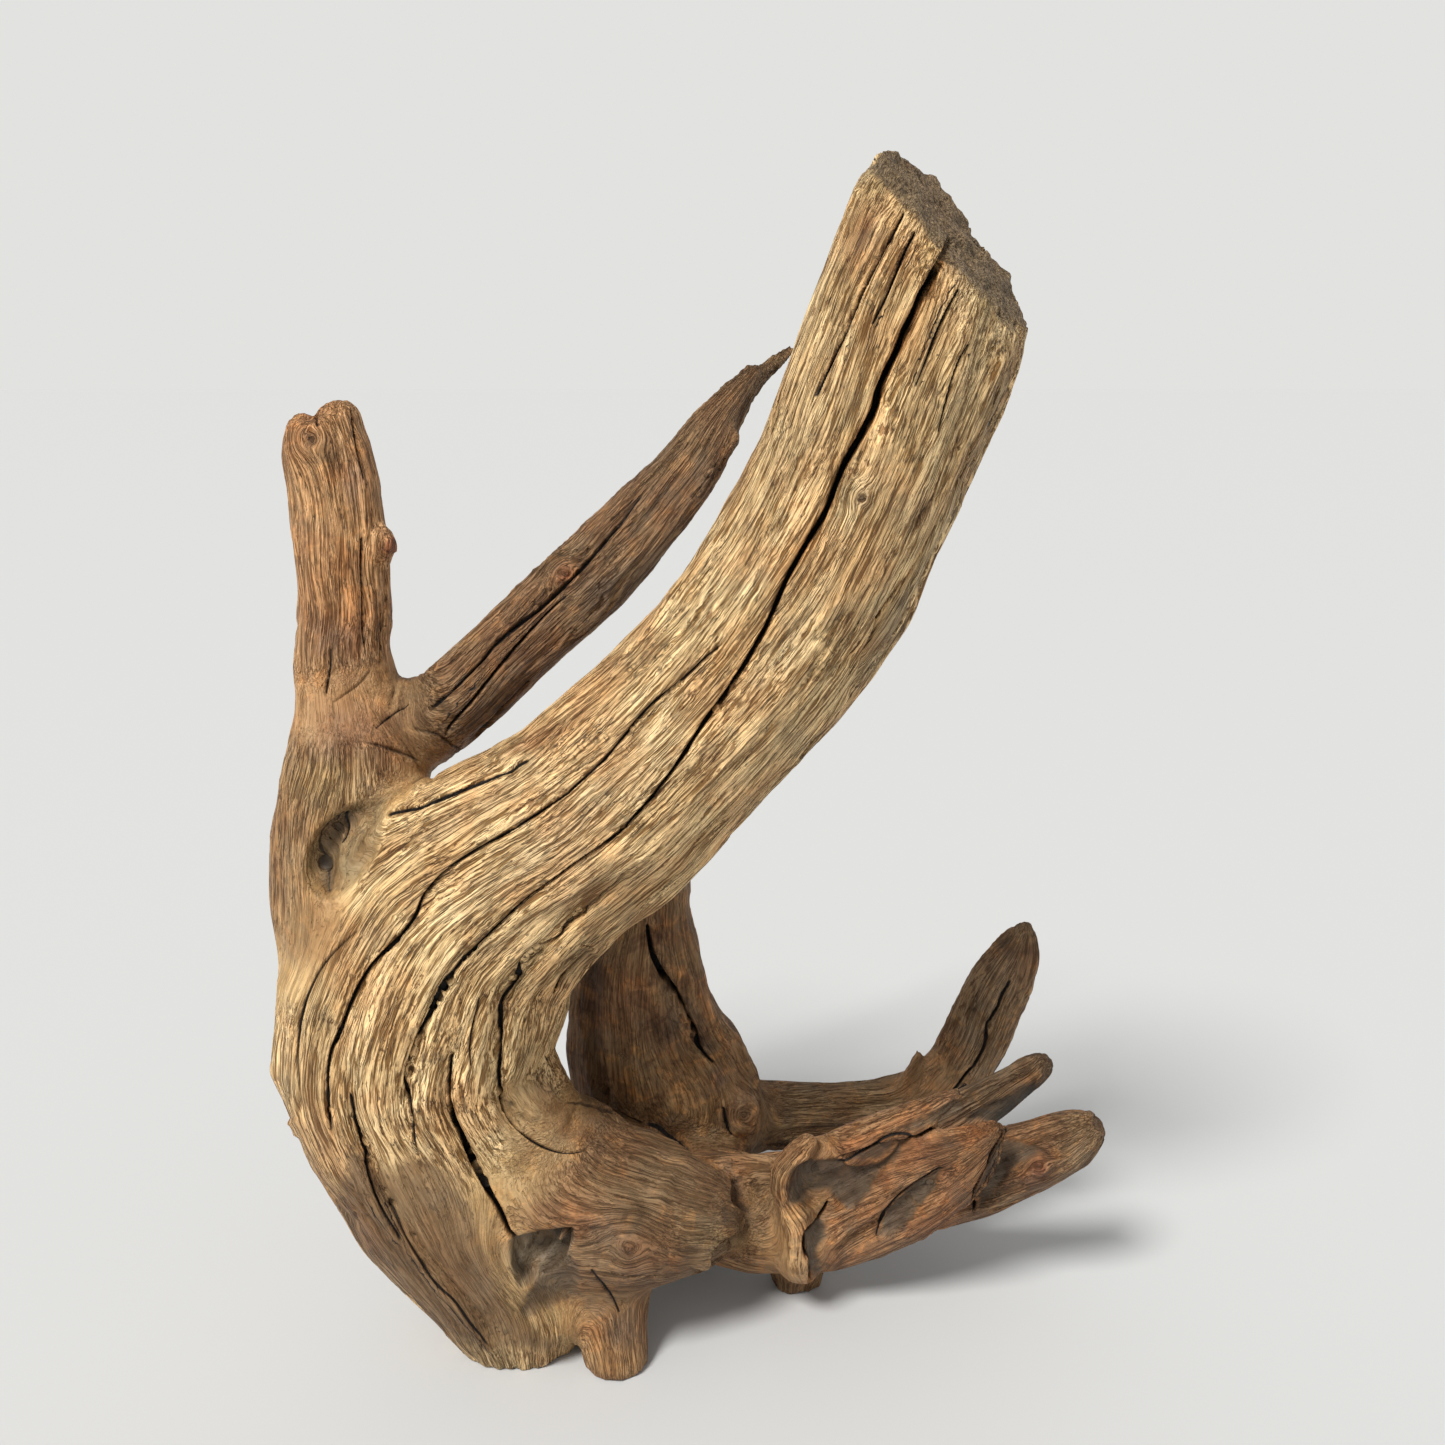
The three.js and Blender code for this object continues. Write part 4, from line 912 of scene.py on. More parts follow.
def refineNear(mesh):
    # smaller cells beside the cracks
    places, normals = readPlaces(mesh), readNormals(mesh)
    share = fetchShares(mesh)
    points = toPicture(places)
    facing = facingCamera(places, normals)
    close = np.zeros(len(places), bool)
    for crack in frontCracks.values():
        chosen, line = crackReach(points, share, facing, crack, 12)
        distance, _, run = nearestOnLine(points[chosen], line)
        close[chosen[distance < spread(crack["half"], run) + 5]] = True
    finer = bmesh.new()
    finer.from_mesh(mesh)
    finer.verts.ensure_lookup_table()
    marks = close.tolist()
    edges = [edge for edge in finer.edges if marks[edge.verts[0].index] and marks[edge.verts[1].index]]
    bmesh.ops.subdivide_edges(finer, edges=edges, cuts=1, use_grid_fill=True)
    bmesh.ops.triangulate(finer, faces=[face for face in finer.faces if len(face.verts) > 4])
    finer.to_mesh(mesh)
    finer.free()


def facingCamera(places, normals):
    ray = cameraPlace - places
    return (ray * normals).sum(1) / np.linalg.norm(ray, axis=1)


def storeShares(mesh, share):
    for k, name in enumerate(limbNames):
        storeAttribute(mesh, "in_" + name, "FLOAT", share[k])


def fetchShares(mesh):
    return np.array([fetchAttribute(mesh, "in_" + name) for name in limbNames])


def fineSkin():
    mesh = evenSkin()
    places = readPlaces(mesh)
    share, grain = ledGrain(places)
    storeShares(mesh, share)
    storeAttribute(mesh, "grain", "FLOAT_VECTOR", grain)
    print("even skin:", len(mesh.polygons), "faces")
    mesh = applied(mesh, "SUBSURF", levels=1, render_levels=1)
    refineNear(mesh)
    print("fine skin:", len(mesh.polygons), "faces")
    return mesh


def nearForm(points, facing, line, margin):
    # the places beside a line in the picture, how far from it they are and how far along
    line = roundedLine(line)
    chosen = np.nonzero(nearLine(points, facing, line, margin))[0]
    distance, _, run = nearestOnLine(points[chosen], line)
    return chosen, distance, run


def insideOutline(points, facing, outline):
    # the places near an outline in the picture and how far inside it they are
    line = roundedLine(outline + outline[:1])
    chosen = np.nonzero(nearLine(points, facing, line, 6))[0]
    spots = points[chosen]
    distance = nearestOnLine(spots, line)[0]
    crossings = np.zeros(len(spots), int)
    for (ax, ay), (bx, by) in zip(line[:-1], line[1:]):
        level = (ay > spots[:, 1]) != (by > spots[:, 1])
        at = ax + (spots[:, 1] - ay) / (by - ay if by != ay else 1) * (bx - ax)
        crossings += level & (spots[:, 0] < at)
    return chosen, np.where(crossings % 2 == 1, distance, -distance)


def markCrack(split, dark, chosen, signed, ends):
    # a signed distance keeps a crack's edge sharp between the skin's points
    closer = np.abs(signed) < np.abs(split[chosen])
    split[chosen] = np.where(closer, signed, split[chosen])
    # dark marks how strongly the crack's painted shade is laid on
    dark[chosen] = np.maximum(dark[chosen], ends * (1 - smoothStep(4, 7, np.abs(signed))))


def carveForms(points, share, facing, height):
    for form in frontForms.values():
        chosen, distance, run = nearForm(points, facing, form["line"], form["half"] * 2.4)
        ends = smoothStep(0, 0.18, run) * smoothStep(1, 0.82, run)
        height[chosen] += form["height"] * np.exp(-(distance / form["half"]) ** 2) * (0.2 + 0.8 * ends)
    for socket in frontSockets.values():
        chosen, inside = insideOutline(points, facing, socket["outline"])
        on = smoothStep(0.3, 0.6, onLimbs(share, socket["on"])[chosen])
        height[chosen] -= socket["depth"] * smoothStep(-1, socket["slope"], inside) * on
    for knot in frontKnots.values():
        away = np.hypot(points[:, 0] - knot["at"][0], points[:, 1] - knot["at"][1]) / knot["radius"]
        ring = np.exp(-((away - 0.75) / 0.3) ** 2) - 0.7 * np.exp(-(away / 0.4) ** 2)
        height += knot["height"] * ring * smoothStep(0.1, 0.3, facing)


def carveFrontCracks(points, grain, share, facing, height, split, dark):
    for crack in frontCracks.values():
        chosen, line = crackReach(points, share, facing, crack, 60)
        if not len(chosen):
            continue
        wobble = noiseVectors(grain[chosen] / (22, 26, 26), 12, 13)
        distance, side, run = nearestOnLine(points[chosen] + wobble, line)
        half = spread(crack["half"], run) * (1 + 0.3 * grainNoise(grain[chosen] / (9, 30, 30), 14))
        ends = smoothStep(0, 0.06, run) * smoothStep(1, 0.94, run)
        wide = np.maximum(half, 1.3)
        profile = 1 - smoothStep(0.4, 1.25, distance / wide)
        deep = spread(crack["depth"], run)
        height[chosen] -= profile * deep * np.minimum(half / 1.6, 1) * (0.2 + 0.8 * ends)
        height[chosen] += crack["lip"] * side * np.exp(-distance / 14) * ends * smoothStep(0, 1.5, distance)
        # the given gap shade along the crack scales its painted shade and the shallow dip beside it
        ends = ends * spread(crack.get("gapShade", (1,)), run)
        height[chosen] -= 0.4 * np.exp(-(distance / (half + 4)) ** 2) * ends
        markCrack(split, dark, chosen, side * distance / half, ends)


def carveHiddenCracks(places, share, height, split, dark):
    onLimb = {}
    for limb in sorted({row[0] for row in hiddenCracks}):
        chosen = np.nonzero(onLimbs(share, (limb,)) > 0.25)[0]
        onLimb[limb] = chosen, limbCoordinates(places[chosen], limb)[0]
    for limb, angle, first, last, half, depth in hiddenCracks:
        chosen, at = onLimb[limb]
        turn = (np.degrees(np.arctan2(at[:, 2], at[:, 1])) - angle + 180) % 360 - 180
        size = np.array(limbLines[limb])[:, 3:].mean()
        wobble = grainNoise(places[chosen] / 26, 20) * 2.2 + grainNoise(places[chosen] / 8, 21) * 0.5
        signed = np.radians(turn) * size + wobble
        middle, reach = (first + last) / 2, (last - first) / 2
        ends = smoothStep(1, 0.75, np.abs(at[:, 0] - middle) / reach)
        ends *= smoothStep(0.3, 0.6, onLimbs(share, (limb,))[chosen])
        height[chosen] -= (1 - smoothStep(0.5, 1.6, np.abs(signed) / half)) * ends * depth
        markCrack(split, dark, chosen, signed / half, ends)


def crumbledBreak(places, normals, share, points, facing):
    # how far each place lies in the rough break at the top of the trunk
    line = sampledLimb("trunk")
    top, upward = line[0][-1], line[3][-1]
    fromEnd = (places - top) @ upward
    broken = smoothStep(0.35, 0.75, normals @ upward) * smoothStep(-90, -30, fromEnd)
    chosen, inside = insideOutline(points, facing, brokenEdge)
    front = smoothStep(-2, 3, inside) * smoothStep(-90, -40, fromEnd[chosen])
    broken[chosen] = np.maximum(broken[chosen], front)
    return broken * onLimbs(share, ("trunk",))


def carvedSkin(mesh):
    places, normals = readPlaces(mesh), readNormals(mesh)
    edges = readEdges(mesh)
    share, grain = fetchShares(mesh), fetchAttribute(mesh, "grain", 3)
    points = toPicture(places)
    facing = facingCamera(places, normals)
    flute = limbMean(share, "flute")
    ridge = limbMean(share, "ridge")
    waved = grain + noiseVectors(places / 38, 1, 2, 3) * np.array((6.0, 3.0, 3.0))
    blend = smoothStep(0.01, 0.22, 1 - share.max(0))  # where two limbs' grain runs together
    ridge = ridge * (1 - 0.75 * blend)
    height = np.zeros(len(places))
    dark = np.zeros(len(places))
    split = np.full(len(places), 9.0)

    # long flutes with sharp valleys, finer ridges, and the finest ones that the skin can hold
    height += flute * (np.abs(grainNoise(waved / grainWaves["flutes"], 4)) - 0.35) * 1.6
    height += ridge * (np.abs(grainNoise(waved / grainWaves["ridges"], 5)) - 0.35) * 1.5
    height += ridge * 0.42 * grainNoise(waved / grainWaves["fineRidges"], 6)
    height += grainNoise(places / 30, 7) * 0.8

    # short checks along the grain
    gap = grainNoise(waved / grainWaves["checks"], 8)
    patchy = smoothStep(0.0, 0.35, grainNoise(waved / grainWaves["checkPatches"], 9))
    height -= np.exp(-(gap / 0.06) ** 2) * patchy * ridge * 2.0

    carveForms(points, share, facing, height)
    carveFrontCracks(points, grain, share, facing, height, split, dark)
    carveHiddenCracks(places, share, height, split, dark)
    places += normals * height[:, None]
    writePlaces(mesh, places)

    normals = readNormals(mesh)
    broken = crumbledBreak(places, normals, share, points, facing)
    crumbs = grainNoise(places / 7, 30) * 1.3 + grainNoise(places / 3.2, 31) * 0.9
    crumbs += grainNoise(places / 16, 32) * 1.6
    places += normals * (broken * crumbs)[:, None]
    places[:, 2] = np.maximum(places[:, 2], 0)  # nothing sinks below the floor
    writePlaces(mesh, places)

    # how hollow each place is; the material paints shade into hollows and lightens edges from it
    hollow = ((neighbourMean(places, edges) - places) * readNormals(mesh)).sum(1)[:, None]
    for turn in range(3):
        hollow = neighbourMean(hollow, edges)
    calm = np.maximum(limbMean(share, "calm"), blend * 0.85)
    for socket in frontSockets.values():
        chosen, inside = insideOutline(points, facing, socket["outline"])
        still = smoothStep(-2, 3, inside) * socket.get("calm", 0)
        calm[chosen] = np.maximum(calm[chosen], still)
    marks = {
        "hollow": np.clip(hollow[:, 0] * 6, -1, 1),
        "dark": dark,
        "split": np.clip(split, -9, 9),
        "calm": calm,
        "mottle": limbMean(share, "mottle"),
        "broken": broken,
    }
    for name, values in marks.items():
        storeAttribute(mesh, name, "FLOAT", values)
    turnGrain(mesh, grain, points, facing)
    paintWood(mesh, places, share, points, facing)


def turnGrain(mesh, grain, points, facing):
    # the grain runs in rings round each knot
    along = grainNoise(grain / (40, 30, 30), 50) * 3
    across = noiseVectors(grain / (60, 12, 12), 51, 52) * 2.2
    grain = grain + np.column_stack((along, across))
    for knot in frontKnots.values():
        offset = points - knot["at"]
        away = np.hypot(offset[:, 0], offset[:, 1])
        share = np.exp(-(away / (knot["radius"] * 1.15)) ** 2) * smoothStep(0.05, 0.25, facing)
        ringed = np.stack((np.arctan2(offset[:, 1], np.abs(offset[:, 0])) * 9, away * 0.42, away * 0.1), 1)
        middle = grain[np.argmin(away + (facing < 0.1) * 1000)]
        grain += (ringed + middle - grain) * share[:, None]
    storeAttribute(mesh, "grain", "FLOAT_VECTOR", grain)


def paintWood(mesh, places, share, points, facing):
    colour = limbMean(share, "colour")
    wander = noiseVectors(places / 14, 40, 41) * 9
    fine = noiseVectors(places / 5, 42, 43) * 2.5

    def cover(chosen, amount, stain):
        colour[chosen] += (np.array(stain) - colour[chosen]) * amount[:, None]

    everywhere = np.nonzero(facing > 0)[0]
    spots = points[everywhere] + wander[everywhere] + fine[everywhere]
    lit = smoothStep(0.0, 0.2, facing[everywhere])
    # some patches are painted shade: the right face, underside, toe, under the burl and on the leg beside
    # the trunk
    for across, down, wide, tall, lean, stain, most in stainPatches.values():
        turned = math.radians(lean)
        u = (spots[:, 0] - across) * math.cos(turned) + (spots[:, 1] - down) * math.sin(turned)
        v = -(spots[:, 0] - across) * math.sin(turned) + (spots[:, 1] - down) * math.cos(turned)
        cover(everywhere, most * np.exp(-((u / wide) ** 2 + (v / tall) ** 2)) * lit, stain)
    moved = points + wander * 0.2 + fine
    # some forms' colours are painted shade: the check recess, the burl's wall, the side face, the underside
    # and the curl's groove
    for form in frontForms.values():
        if "colour" in form:
            chosen, distance, run = nearForm(moved, facing, form["line"], form["half"] * 2)
            ends = smoothStep(0, 0.1, run) * smoothStep(1, 0.9, run)
            cover(chosen, form["cover"] * np.exp(-(distance / form["half"]) ** 2) * ends, form["colour"])
    # some sockets' colours are painted shade: the toe face, the knothole's top and the middle prong's side
    for socket in frontSockets.values():
        chosen, inside = insideOutline(moved, facing, socket["outline"])
        cover(chosen, socket["cover"] * smoothStep(-1.5, 4, inside), socket["colour"])
    for knot in frontKnots.values():
        away = np.hypot(moved[:, 0] - knot["at"][0], moved[:, 1] - knot["at"][1]) / knot["radius"]
        chosen = np.nonzero((away < 2) & (facing > 0.1))[0]
        cover(chosen, 0.6 * np.exp(-(away[chosen] / 0.95) ** 2), knot["ring"])
        cover(chosen, 0.7 * np.exp(-(away[chosen] / 0.4) ** 2), knot["heart"])
    tint = np.column_stack((np.clip(colour, 0, 1), np.ones(len(colour))))
    storeAttribute(mesh, "tint", "FLOAT_COLOR", tint)


def cutAtForks(mesh):
    for layer in [layer.name for layer in mesh.attributes if layer.name.startswith("in_")]:
        mesh.attributes.remove(mesh.attributes[layer])
    places = readPlaces(mesh) / 1000
    skin = bmesh.new()
    skin.from_mesh(mesh)
    verts = skin.verts[:]
    for name, cut in forkCuts.items():
        at = (Vector(cut["at"]) + Vector(lineShift)) / 1000
        facing = Vector(cut["facing"]).normalized()
        across = (Vector((0, 0, 1)) if abs(facing.y) > 0.7 else Vector((0, 1, 0))).cross(facing).normalized()
        depth = facing.cross(across)
        reach = [size * skinSet["forkReach"] / 1000 for size in cut["reach"]]
        offset = places - at
        inside = np.abs(offset @ facing) < skinSet["forkBand"]
        inside &= (offset @ across / reach[0]) ** 2 + (offset @ depth / reach[1]) ** 2 < 1
        near = list(dict.fromkeys(face for k in np.nonzero(inside)[0] for face in verts[k].link_faces))
        edges = list(dict.fromkeys(edge for face in near for edge in face.edges))
        corners = list(dict.fromkeys(vert for face in near for vert in face.verts))
        made = bmesh.ops.bisect_plane(
            skin, geom=near + edges + corners, dist=1e-7, plane_co=at, plane_no=facing)
        edges = [item for item in made["geom_cut"] if isinstance(item, bmesh.types.BMEdge)]
        loops = closedLoops(edges)
        print("fork", name, "cut edges", len(edges), "in closed loops", len(loops))
        bmesh.ops.split_edges(skin, edges=loops)
    skin.to_mesh(mesh)
    skin.free()


def closedLoops(edges):
    # only the edges that run round a limb and meet again
    left = set(edges)
    changed = True
    while changed:
        changed = False
        count = {}
        for edge in left:
            for vert in edge.verts:
                count[vert] = count.get(vert, 0) + 1
        ends = {edge for edge in left if any(count[vert] < 2 for vert in edge.verts)}
        if ends:
            left -= ends
            changed = True
    return [edge for edge in edges if edge in left]


def separatePieces(mesh):
    whole = linkedObject("driftwood", mesh)
    for thing in bpy.context.selected_objects:
        thing.select_set(False)
    before = set(bpy.data.objects)
    whole.select_set(True)
    bpy.context.view_layer.objects.active = whole
    bpy.ops.mesh.separate(type="LOOSE")
    loose = [whole] + [thing for thing in bpy.data.objects if thing not in before]
    clouds = {thing.name: readPlaces(thing.data) for thing in loose}
    found = {}
    for name, piece in woodPieces.items():
        inside = np.array(piece["inside"]) + lineShift
        nearest = {key: ((cloud - inside) ** 2).sum(1).min() for key, cloud in clouds.items()}
        chosen = min(nearest, key=nearest.get)
        found[name] = bpy.data.objects[chosen]
    for thing in loose:
        if thing not in found.values():
            print("loose bit left out:", thing.name, len(thing.data.polygons), "faces")
            bpy.data.objects.remove(thing)
    for name, thing in found.items():
        closeCuts(thing.data)
        triangles = len(thing.data.polygons)
        if triangles > skinSet["mostTriangles"]:
            thing.data = thinned(thing.data, skinSet["mostTriangles"] / triangles)
        thing.name = name
        thing.data.name = name
        print(name, triangles, "triangles, kept", len(thing.data.polygons))
    return found


def thinned(mesh, ratio):
    # fewer triangles, most of them kept beside the cracks
    holder = linkedObject("holder", mesh.copy())
    beside = (np.abs(fetchAttribute(mesh, "split")) < 3) & (fetchAttribute(mesh, "dark") > 0.15)
    keep = holder.vertex_groups.new(name="keep")
    keep.add(np.nonzero(beside)[0].tolist(), 0.9, "REPLACE")
    modifier = holder.modifiers.new("thin", "DECIMATE")
    modifier.ratio = ratio
    modifier.vertex_group = "keep"
    modifier.invert_vertex_group = True
    modifier.vertex_group_factor = 0.6
    return finished(holder)


def rimRings(rim):
    # open edges sorted into the rings they form
    left = set(rim)
    rings = []
    for first in rim:
        if first not in left:
            continue
        left.remove(first)
        ring = []
        reached = [first]
        while reached:
            edge = reached.pop()
            ring.append(edge)
            beside = [other for vert in edge.verts for other in vert.link_edges if other in left]
            left.difference_update(beside)
            reached += list(dict.fromkeys(beside))
        rings.append(ring)
    return rings


def closeCuts(mesh):
    piece = bmesh.new()
    piece.from_mesh(mesh)
    bmesh.ops.triangulate(piece, faces=piece.faces[:])
    rim = [edge for edge in piece.edges if edge.is_boundary]
    lids = []
    for ring in rimRings(rim):
        made = bmesh.ops.triangle_fill(piece, edges=ring, use_beauty=True, use_dissolve=False)
        lids += [item for item in made["geom"] if isinstance(item, bmesh.types.BMFace)]
    for face in piece.faces:
        face.smooth = True
    for face in lids:
        face.smooth = False
    bmesh.ops.recalc_face_normals(piece, faces=piece.faces[:])
    for edge in rim:
        if edge.is_valid:
            edge.smooth = False
    print("open edges left:", sum(edge.is_boundary for edge in piece.edges))
    piece.to_mesh(mesh)
    piece.free()


def newGroup(name, inputs, outputs):
    group = bpy.data.node_groups.new(name, "ShaderNodeTree")
    for label, kind, value in inputs:
        socket = group.interface.new_socket(label, in_out="INPUT", socket_type=kind)
        if value is not None:
            socket.default_value = value
    for label in outputs:
        group.interface.new_socket(label, in_out="OUTPUT", socket_type="NodeSocketFloat")
    return group, group.nodes.new("NodeGroupInput"), group.nodes.new("NodeGroupOutput")


def addNode(tree, kind, values=None, **settings):
    node = tree.nodes.new(kind)
    for key, value in settings.items():
        setattr(node, key, value)
    for key, value in (values or {}).items():
        node.inputs[key].default_value = value
    return node


def setSocket(tree, socket, value):
    if isinstance(value, (int, float)):
        socket.default_value = value
    elif isinstance(value, tuple):
        socket.default_value = (*value, 1)
    else:
        tree.links.new(value, socket)


def addMath(tree, operation, first, second=None, clamp=False):
    node = addNode(tree, "ShaderNodeMath", operation=operation, use_clamp=clamp)
    setSocket(tree, node.inputs[0], first)
    if second is not None:
        setSocket(tree, node.inputs[1], second)
    return node.outputs[0]


def plus(tree, first, second):
    return addMath(tree, "ADD", first, second)


def minus(tree, first, second):
    return addMath(tree, "SUBTRACT", first, second)


def times(tree, first, second):
    return addMath(tree, "MULTIPLY", first, second)


def weighed(tree, *parts):
    # the sum of several values, each times its weight
    total = times(tree, *parts[0])
    for value, weight in parts[1:]:
        total = plus(tree, total, times(tree, value, weight))
    return total


def addRange(tree, value, low, high, first=0.0, last=1.0):
    limits = {"From Min": low, "From Max": high, "To Min": first, "To Max": last}
    node = addNode(tree, "ShaderNodeMapRange", limits)
    node.interpolation_type = "SMOOTHSTEP"
    tree.links.new(value, node.inputs["Value"])
    return node.outputs["Result"]


def addMix(tree, share, first, second, blend="MIX"):
    node = addNode(tree, "ShaderNodeMix", data_type="RGBA", blend_type=blend)
    setSocket(tree, node.inputs[0], share)
    setSocket(tree, node.inputs[6], first)
    setSocket(tree, node.inputs[7], second)
    return node.outputs[2]


def tinted(tree, base, name):
    return addMix(tree, 1.0, base, woodTints[name], "MULTIPLY")


def addNoise(tree, vector, scale, detail, rough, warp=0.0):
    look = {"Scale": scale, "Detail": detail, "Roughness": rough, "Distortion": warp}
    noise = addNode(tree, "ShaderNodeTexNoise", look)
    tree.links.new(vector, noise.inputs["Vector"])
    return noise.outputs["Fac"]


def addStretched(tree, vector, along, across, detail, rough=0.55):
    # noise drawn out along the grain
    drawn = addNode(tree, "ShaderNodeVectorMath", operation="MULTIPLY")
    tree.links.new(vector, drawn.inputs[0])
    drawn.inputs[1].default_value = (1 / along, 1 / across, 1 / across)
    return addNoise(tree, drawn.outputs[0], 1.0, detail, rough)


def fibreGroup():
    group, given, made = newGroup(
        "woodFibres",
        [("Grain", "NodeSocketVector", None)],
        ["Fibre", "Streak", "Lines", "Height"])
    grain = given.outputs["Grain"]
    rope = addStretched(group, grain, 60, 2.6, 2)
    rope = addRange(group, addMath(group, "ABSOLUTE", minus(group, rope, 0.5)), 0.0, 0.09)
    strand = addRange(group, addStretched(group, grain, 26, 1.0, 3, 0.62), 0.36, 0.64)
    hair = addRange(group, addStretched(group, grain, 10, 0.42, 2), 0.34, 0.66)
    thin = addMath(group, "ABSOLUTE", minus(group, addStretched(group, grain, 46, 1.5, 2), 0.5))
    patch = addRange(group, addStretched(group, grain, 40, 6, 2), 0.37, 0.5)
    lines = times(group, addRange(group, thin, 0.006, 0.02, 1.0, 0.0), patch)
    height = weighed(group, (rope, 0.5), (strand, 0.42), (hair, 0.13))
    results = {
        "Fibre": weighed(group, (strand, 0.5), (rope, 0.3), (hair, 0.2)),
        "Streak": addStretched(group, grain, 80, 7, 3),
        "Lines": lines,
        "Height": minus(group, height, times(group, lines, 0.5)),
    }
    for label, value in results.items():
        group.links.new(value, made.inputs[label])
    return group


def fleckGroup():
    group, given, made = newGroup(
        "barkFlecks",
        [("Grain", "NodeSocketVector", None), ("Amount", "NodeSocketFloat", 0.5)],
        ["Flecks"])
    grain = given.outputs["Grain"]
    spots = addStretched(group, grain, 5.5, 1.3, 3, 0.6)
    clusters = addStretched(group, grain, 34, 9, 2)
    together = plus(group, spots, times(group, clusters, 0.6))
    edge = minus(group, 1.06, times(group, given.outputs["Amount"], 0.2))
    flecks = addRange(group, minus(group, together, edge), -0.01, 0.05)
    group.links.new(flecks, made.inputs["Flecks"])
    return group


def weatherGroup():
    group, given, made = newGroup(
        "weatherStains",
        [("Position", "NodeSocketVector", None)],
        list(weatherSet))
    for label, (scale, detail, rough, warp, low, high) in weatherSet.items():
        value = addNoise(group, given.outputs["Position"], scale, detail, rough, warp)
        if low is not None:
            value = addRange(group, value, low, high)
        group.links.new(value, made.inputs[label])
    return group


def woodMaterial(name, groups):
    values = materialSet[name]
    material = bpy.data.materials.new(name)
    material.use_nodes = True
    tree = material.node_tree
    tree.nodes.clear()
    out = addNode(tree, "ShaderNodeOutputMaterial")
    shader = addNode(tree, "ShaderNodeBsdfPrincipled", {"Specular IOR Level": 0.35})
    tree.links.new(shader.outputs[0], out.inputs["Surface"])
    marks = {}
    for mark in ("grain", "tint", "hollow", "dark", "broken", "split", "calm", "mottle"):
        marks[mark] = addNode(tree, "ShaderNodeAttribute", attribute_name=mark)
    grain = marks["grain"].outputs["Vector"]
    hollow, dark, broken, split, calm, mottle = (
        marks[mark].outputs["Fac"] for mark in ("hollow", "dark", "broken", "split", "calm", "mottle"))
    fibres, flecks, weather = (
        addNode(tree, "ShaderNodeGroup", node_tree=groups[key]) for key in ("fibres", "flecks", "weather"))
    place = addNode(tree, "ShaderNodeTexCoord")
    tree.links.new(grain, fibres.inputs["Grain"])
    tree.links.new(grain, flecks.inputs["Grain"])
    flecks.inputs["Amount"].default_value = values["fleck"]
    tree.links.new(place.outputs["Object"], weather.inputs["Position"])
    lively = minus(tree, 1.0, times(tree, calm, 0.85))

    # streaks, pale and deep spots, then the fibres, whose dark and pale are partly the grain's own colour
    # and partly painted shade in their grooves and painted highlight on their ridges
    base = marks["tint"].outputs["Color"]
    streak = addRange(tree, fibres.outputs["Streak"], 0.32, 0.68)
    base = addMix(tree, streak, tinted(tree, base, "browner"), tinted(tree, base, "paler"))
    paleSpot, deepSpot = tinted(tree, base, "paleSpot"), tinted(tree, base, "deepSpot")
    base = addMix(tree, times(tree, weather.outputs["Pale"], mottle), base, paleSpot)
    base = addMix(tree, times(tree, weather.outputs["Deep"], mottle), base, deepSpot)
    fibre = addRange(tree, fibres.outputs["Fibre"], 0.24, 0.74)
    contrast = times(tree, lively, values["contrast"])
    low = addMix(tree, contrast, base, tinted(tree, base, "dullAndShaded"))
    high = addMix(tree, contrast, base, tinted(tree, base, "brightAndLit"))
    base = addMix(tree, fibre, low, high)

    # weather, bark flecks and dark lines along the grain
    base = addMix(tree, times(tree, weather.outputs["Stain"], 0.7), base, tinted(tree, base, "redder"))
    base = addMix(tree, times(tree, weather.outputs["Grey"], 0.28), base, woodPaints["weathered"])
    speckle = times(tree, flecks.outputs["Flecks"], times(tree, lively, 0.85))
    base = addMix(tree, speckle, base, tinted(tree, base, "speckled"))
    line = times(tree, fibres.outputs["Lines"], times(tree, lively, 0.8))
    base = addMix(tree, line, base, woodPaints["fineLine"])

    # painted shade in the hollows, edges painted paler for wear and as painted highlight, the crumbled
    # break, and painted shade in and beside the cracks
    # painted shade: hollows in the skin are darkened
    inHollow = addRange(tree, hollow, 0.08, 1.1)
    base = addMix(tree, times(tree, inHollow, 0.75), base, woodPaints["hollow"])
    # edges are painted paler, partly as wear and partly as painted highlight
    onEdge = addRange(tree, hollow, -0.1, -0.8)
    base = addMix(tree, times(tree, onEdge, 0.6), base, tinted(tree, base, "wearAndHighlight"))
    crumbs = addRange(tree, weather.outputs["Grit"], 0.36, 0.66)
    crumbs = addMix(tree, crumbs, woodPaints["crumbDark"], woodPaints["crumbPale"])
    base = addMix(tree, times(tree, broken, 0.85), base, crumbs)
    # painted shade: the cracks' gaps are painted near black
    apart = addMath(tree, "ABSOLUTE", split)
    crack = times(tree, addRange(tree, apart, 0.65, 1.15, 1.0, 0.0), addRange(tree, dark, 0.15, 0.6))
    base = addMix(tree, crack, base, woodPaints["crack"])
    # painted shade: the wood beside each crack is darkened
    beside = times(tree, addRange(tree, apart, 1.0, 2.6, 1.0, 0.0), dark)
    base = addMix(tree, times(tree, beside, 0.6), base, tinted(tree, base, "shadeBesideCrack"))
    tree.links.new(base, shader.inputs["Base Color"])

    rough = addMath(tree, "ADD", times(tree, fibre, -0.1), values["roughness"] + 0.05, clamp=True)
    tree.links.new(rough, shader.inputs["Roughness"])
    grit = plus(tree, times(tree, broken, 1.2), 0.18)
    height = times(tree, fibres.outputs["Height"], lively)
    height = plus(tree, height, times(tree, weather.outputs["Grit"], grit))
    height = minus(tree, height, times(tree, flecks.outputs["Flecks"], 0.3))
    bump = addNode(tree, "ShaderNodeBump", {"Strength": 1.0, "Distance": 0.0017})
    tree.links.new(height, bump.inputs["Height"])
    tree.links.new(bump.outputs["Normal"], shader.inputs["Normal"])
    return material


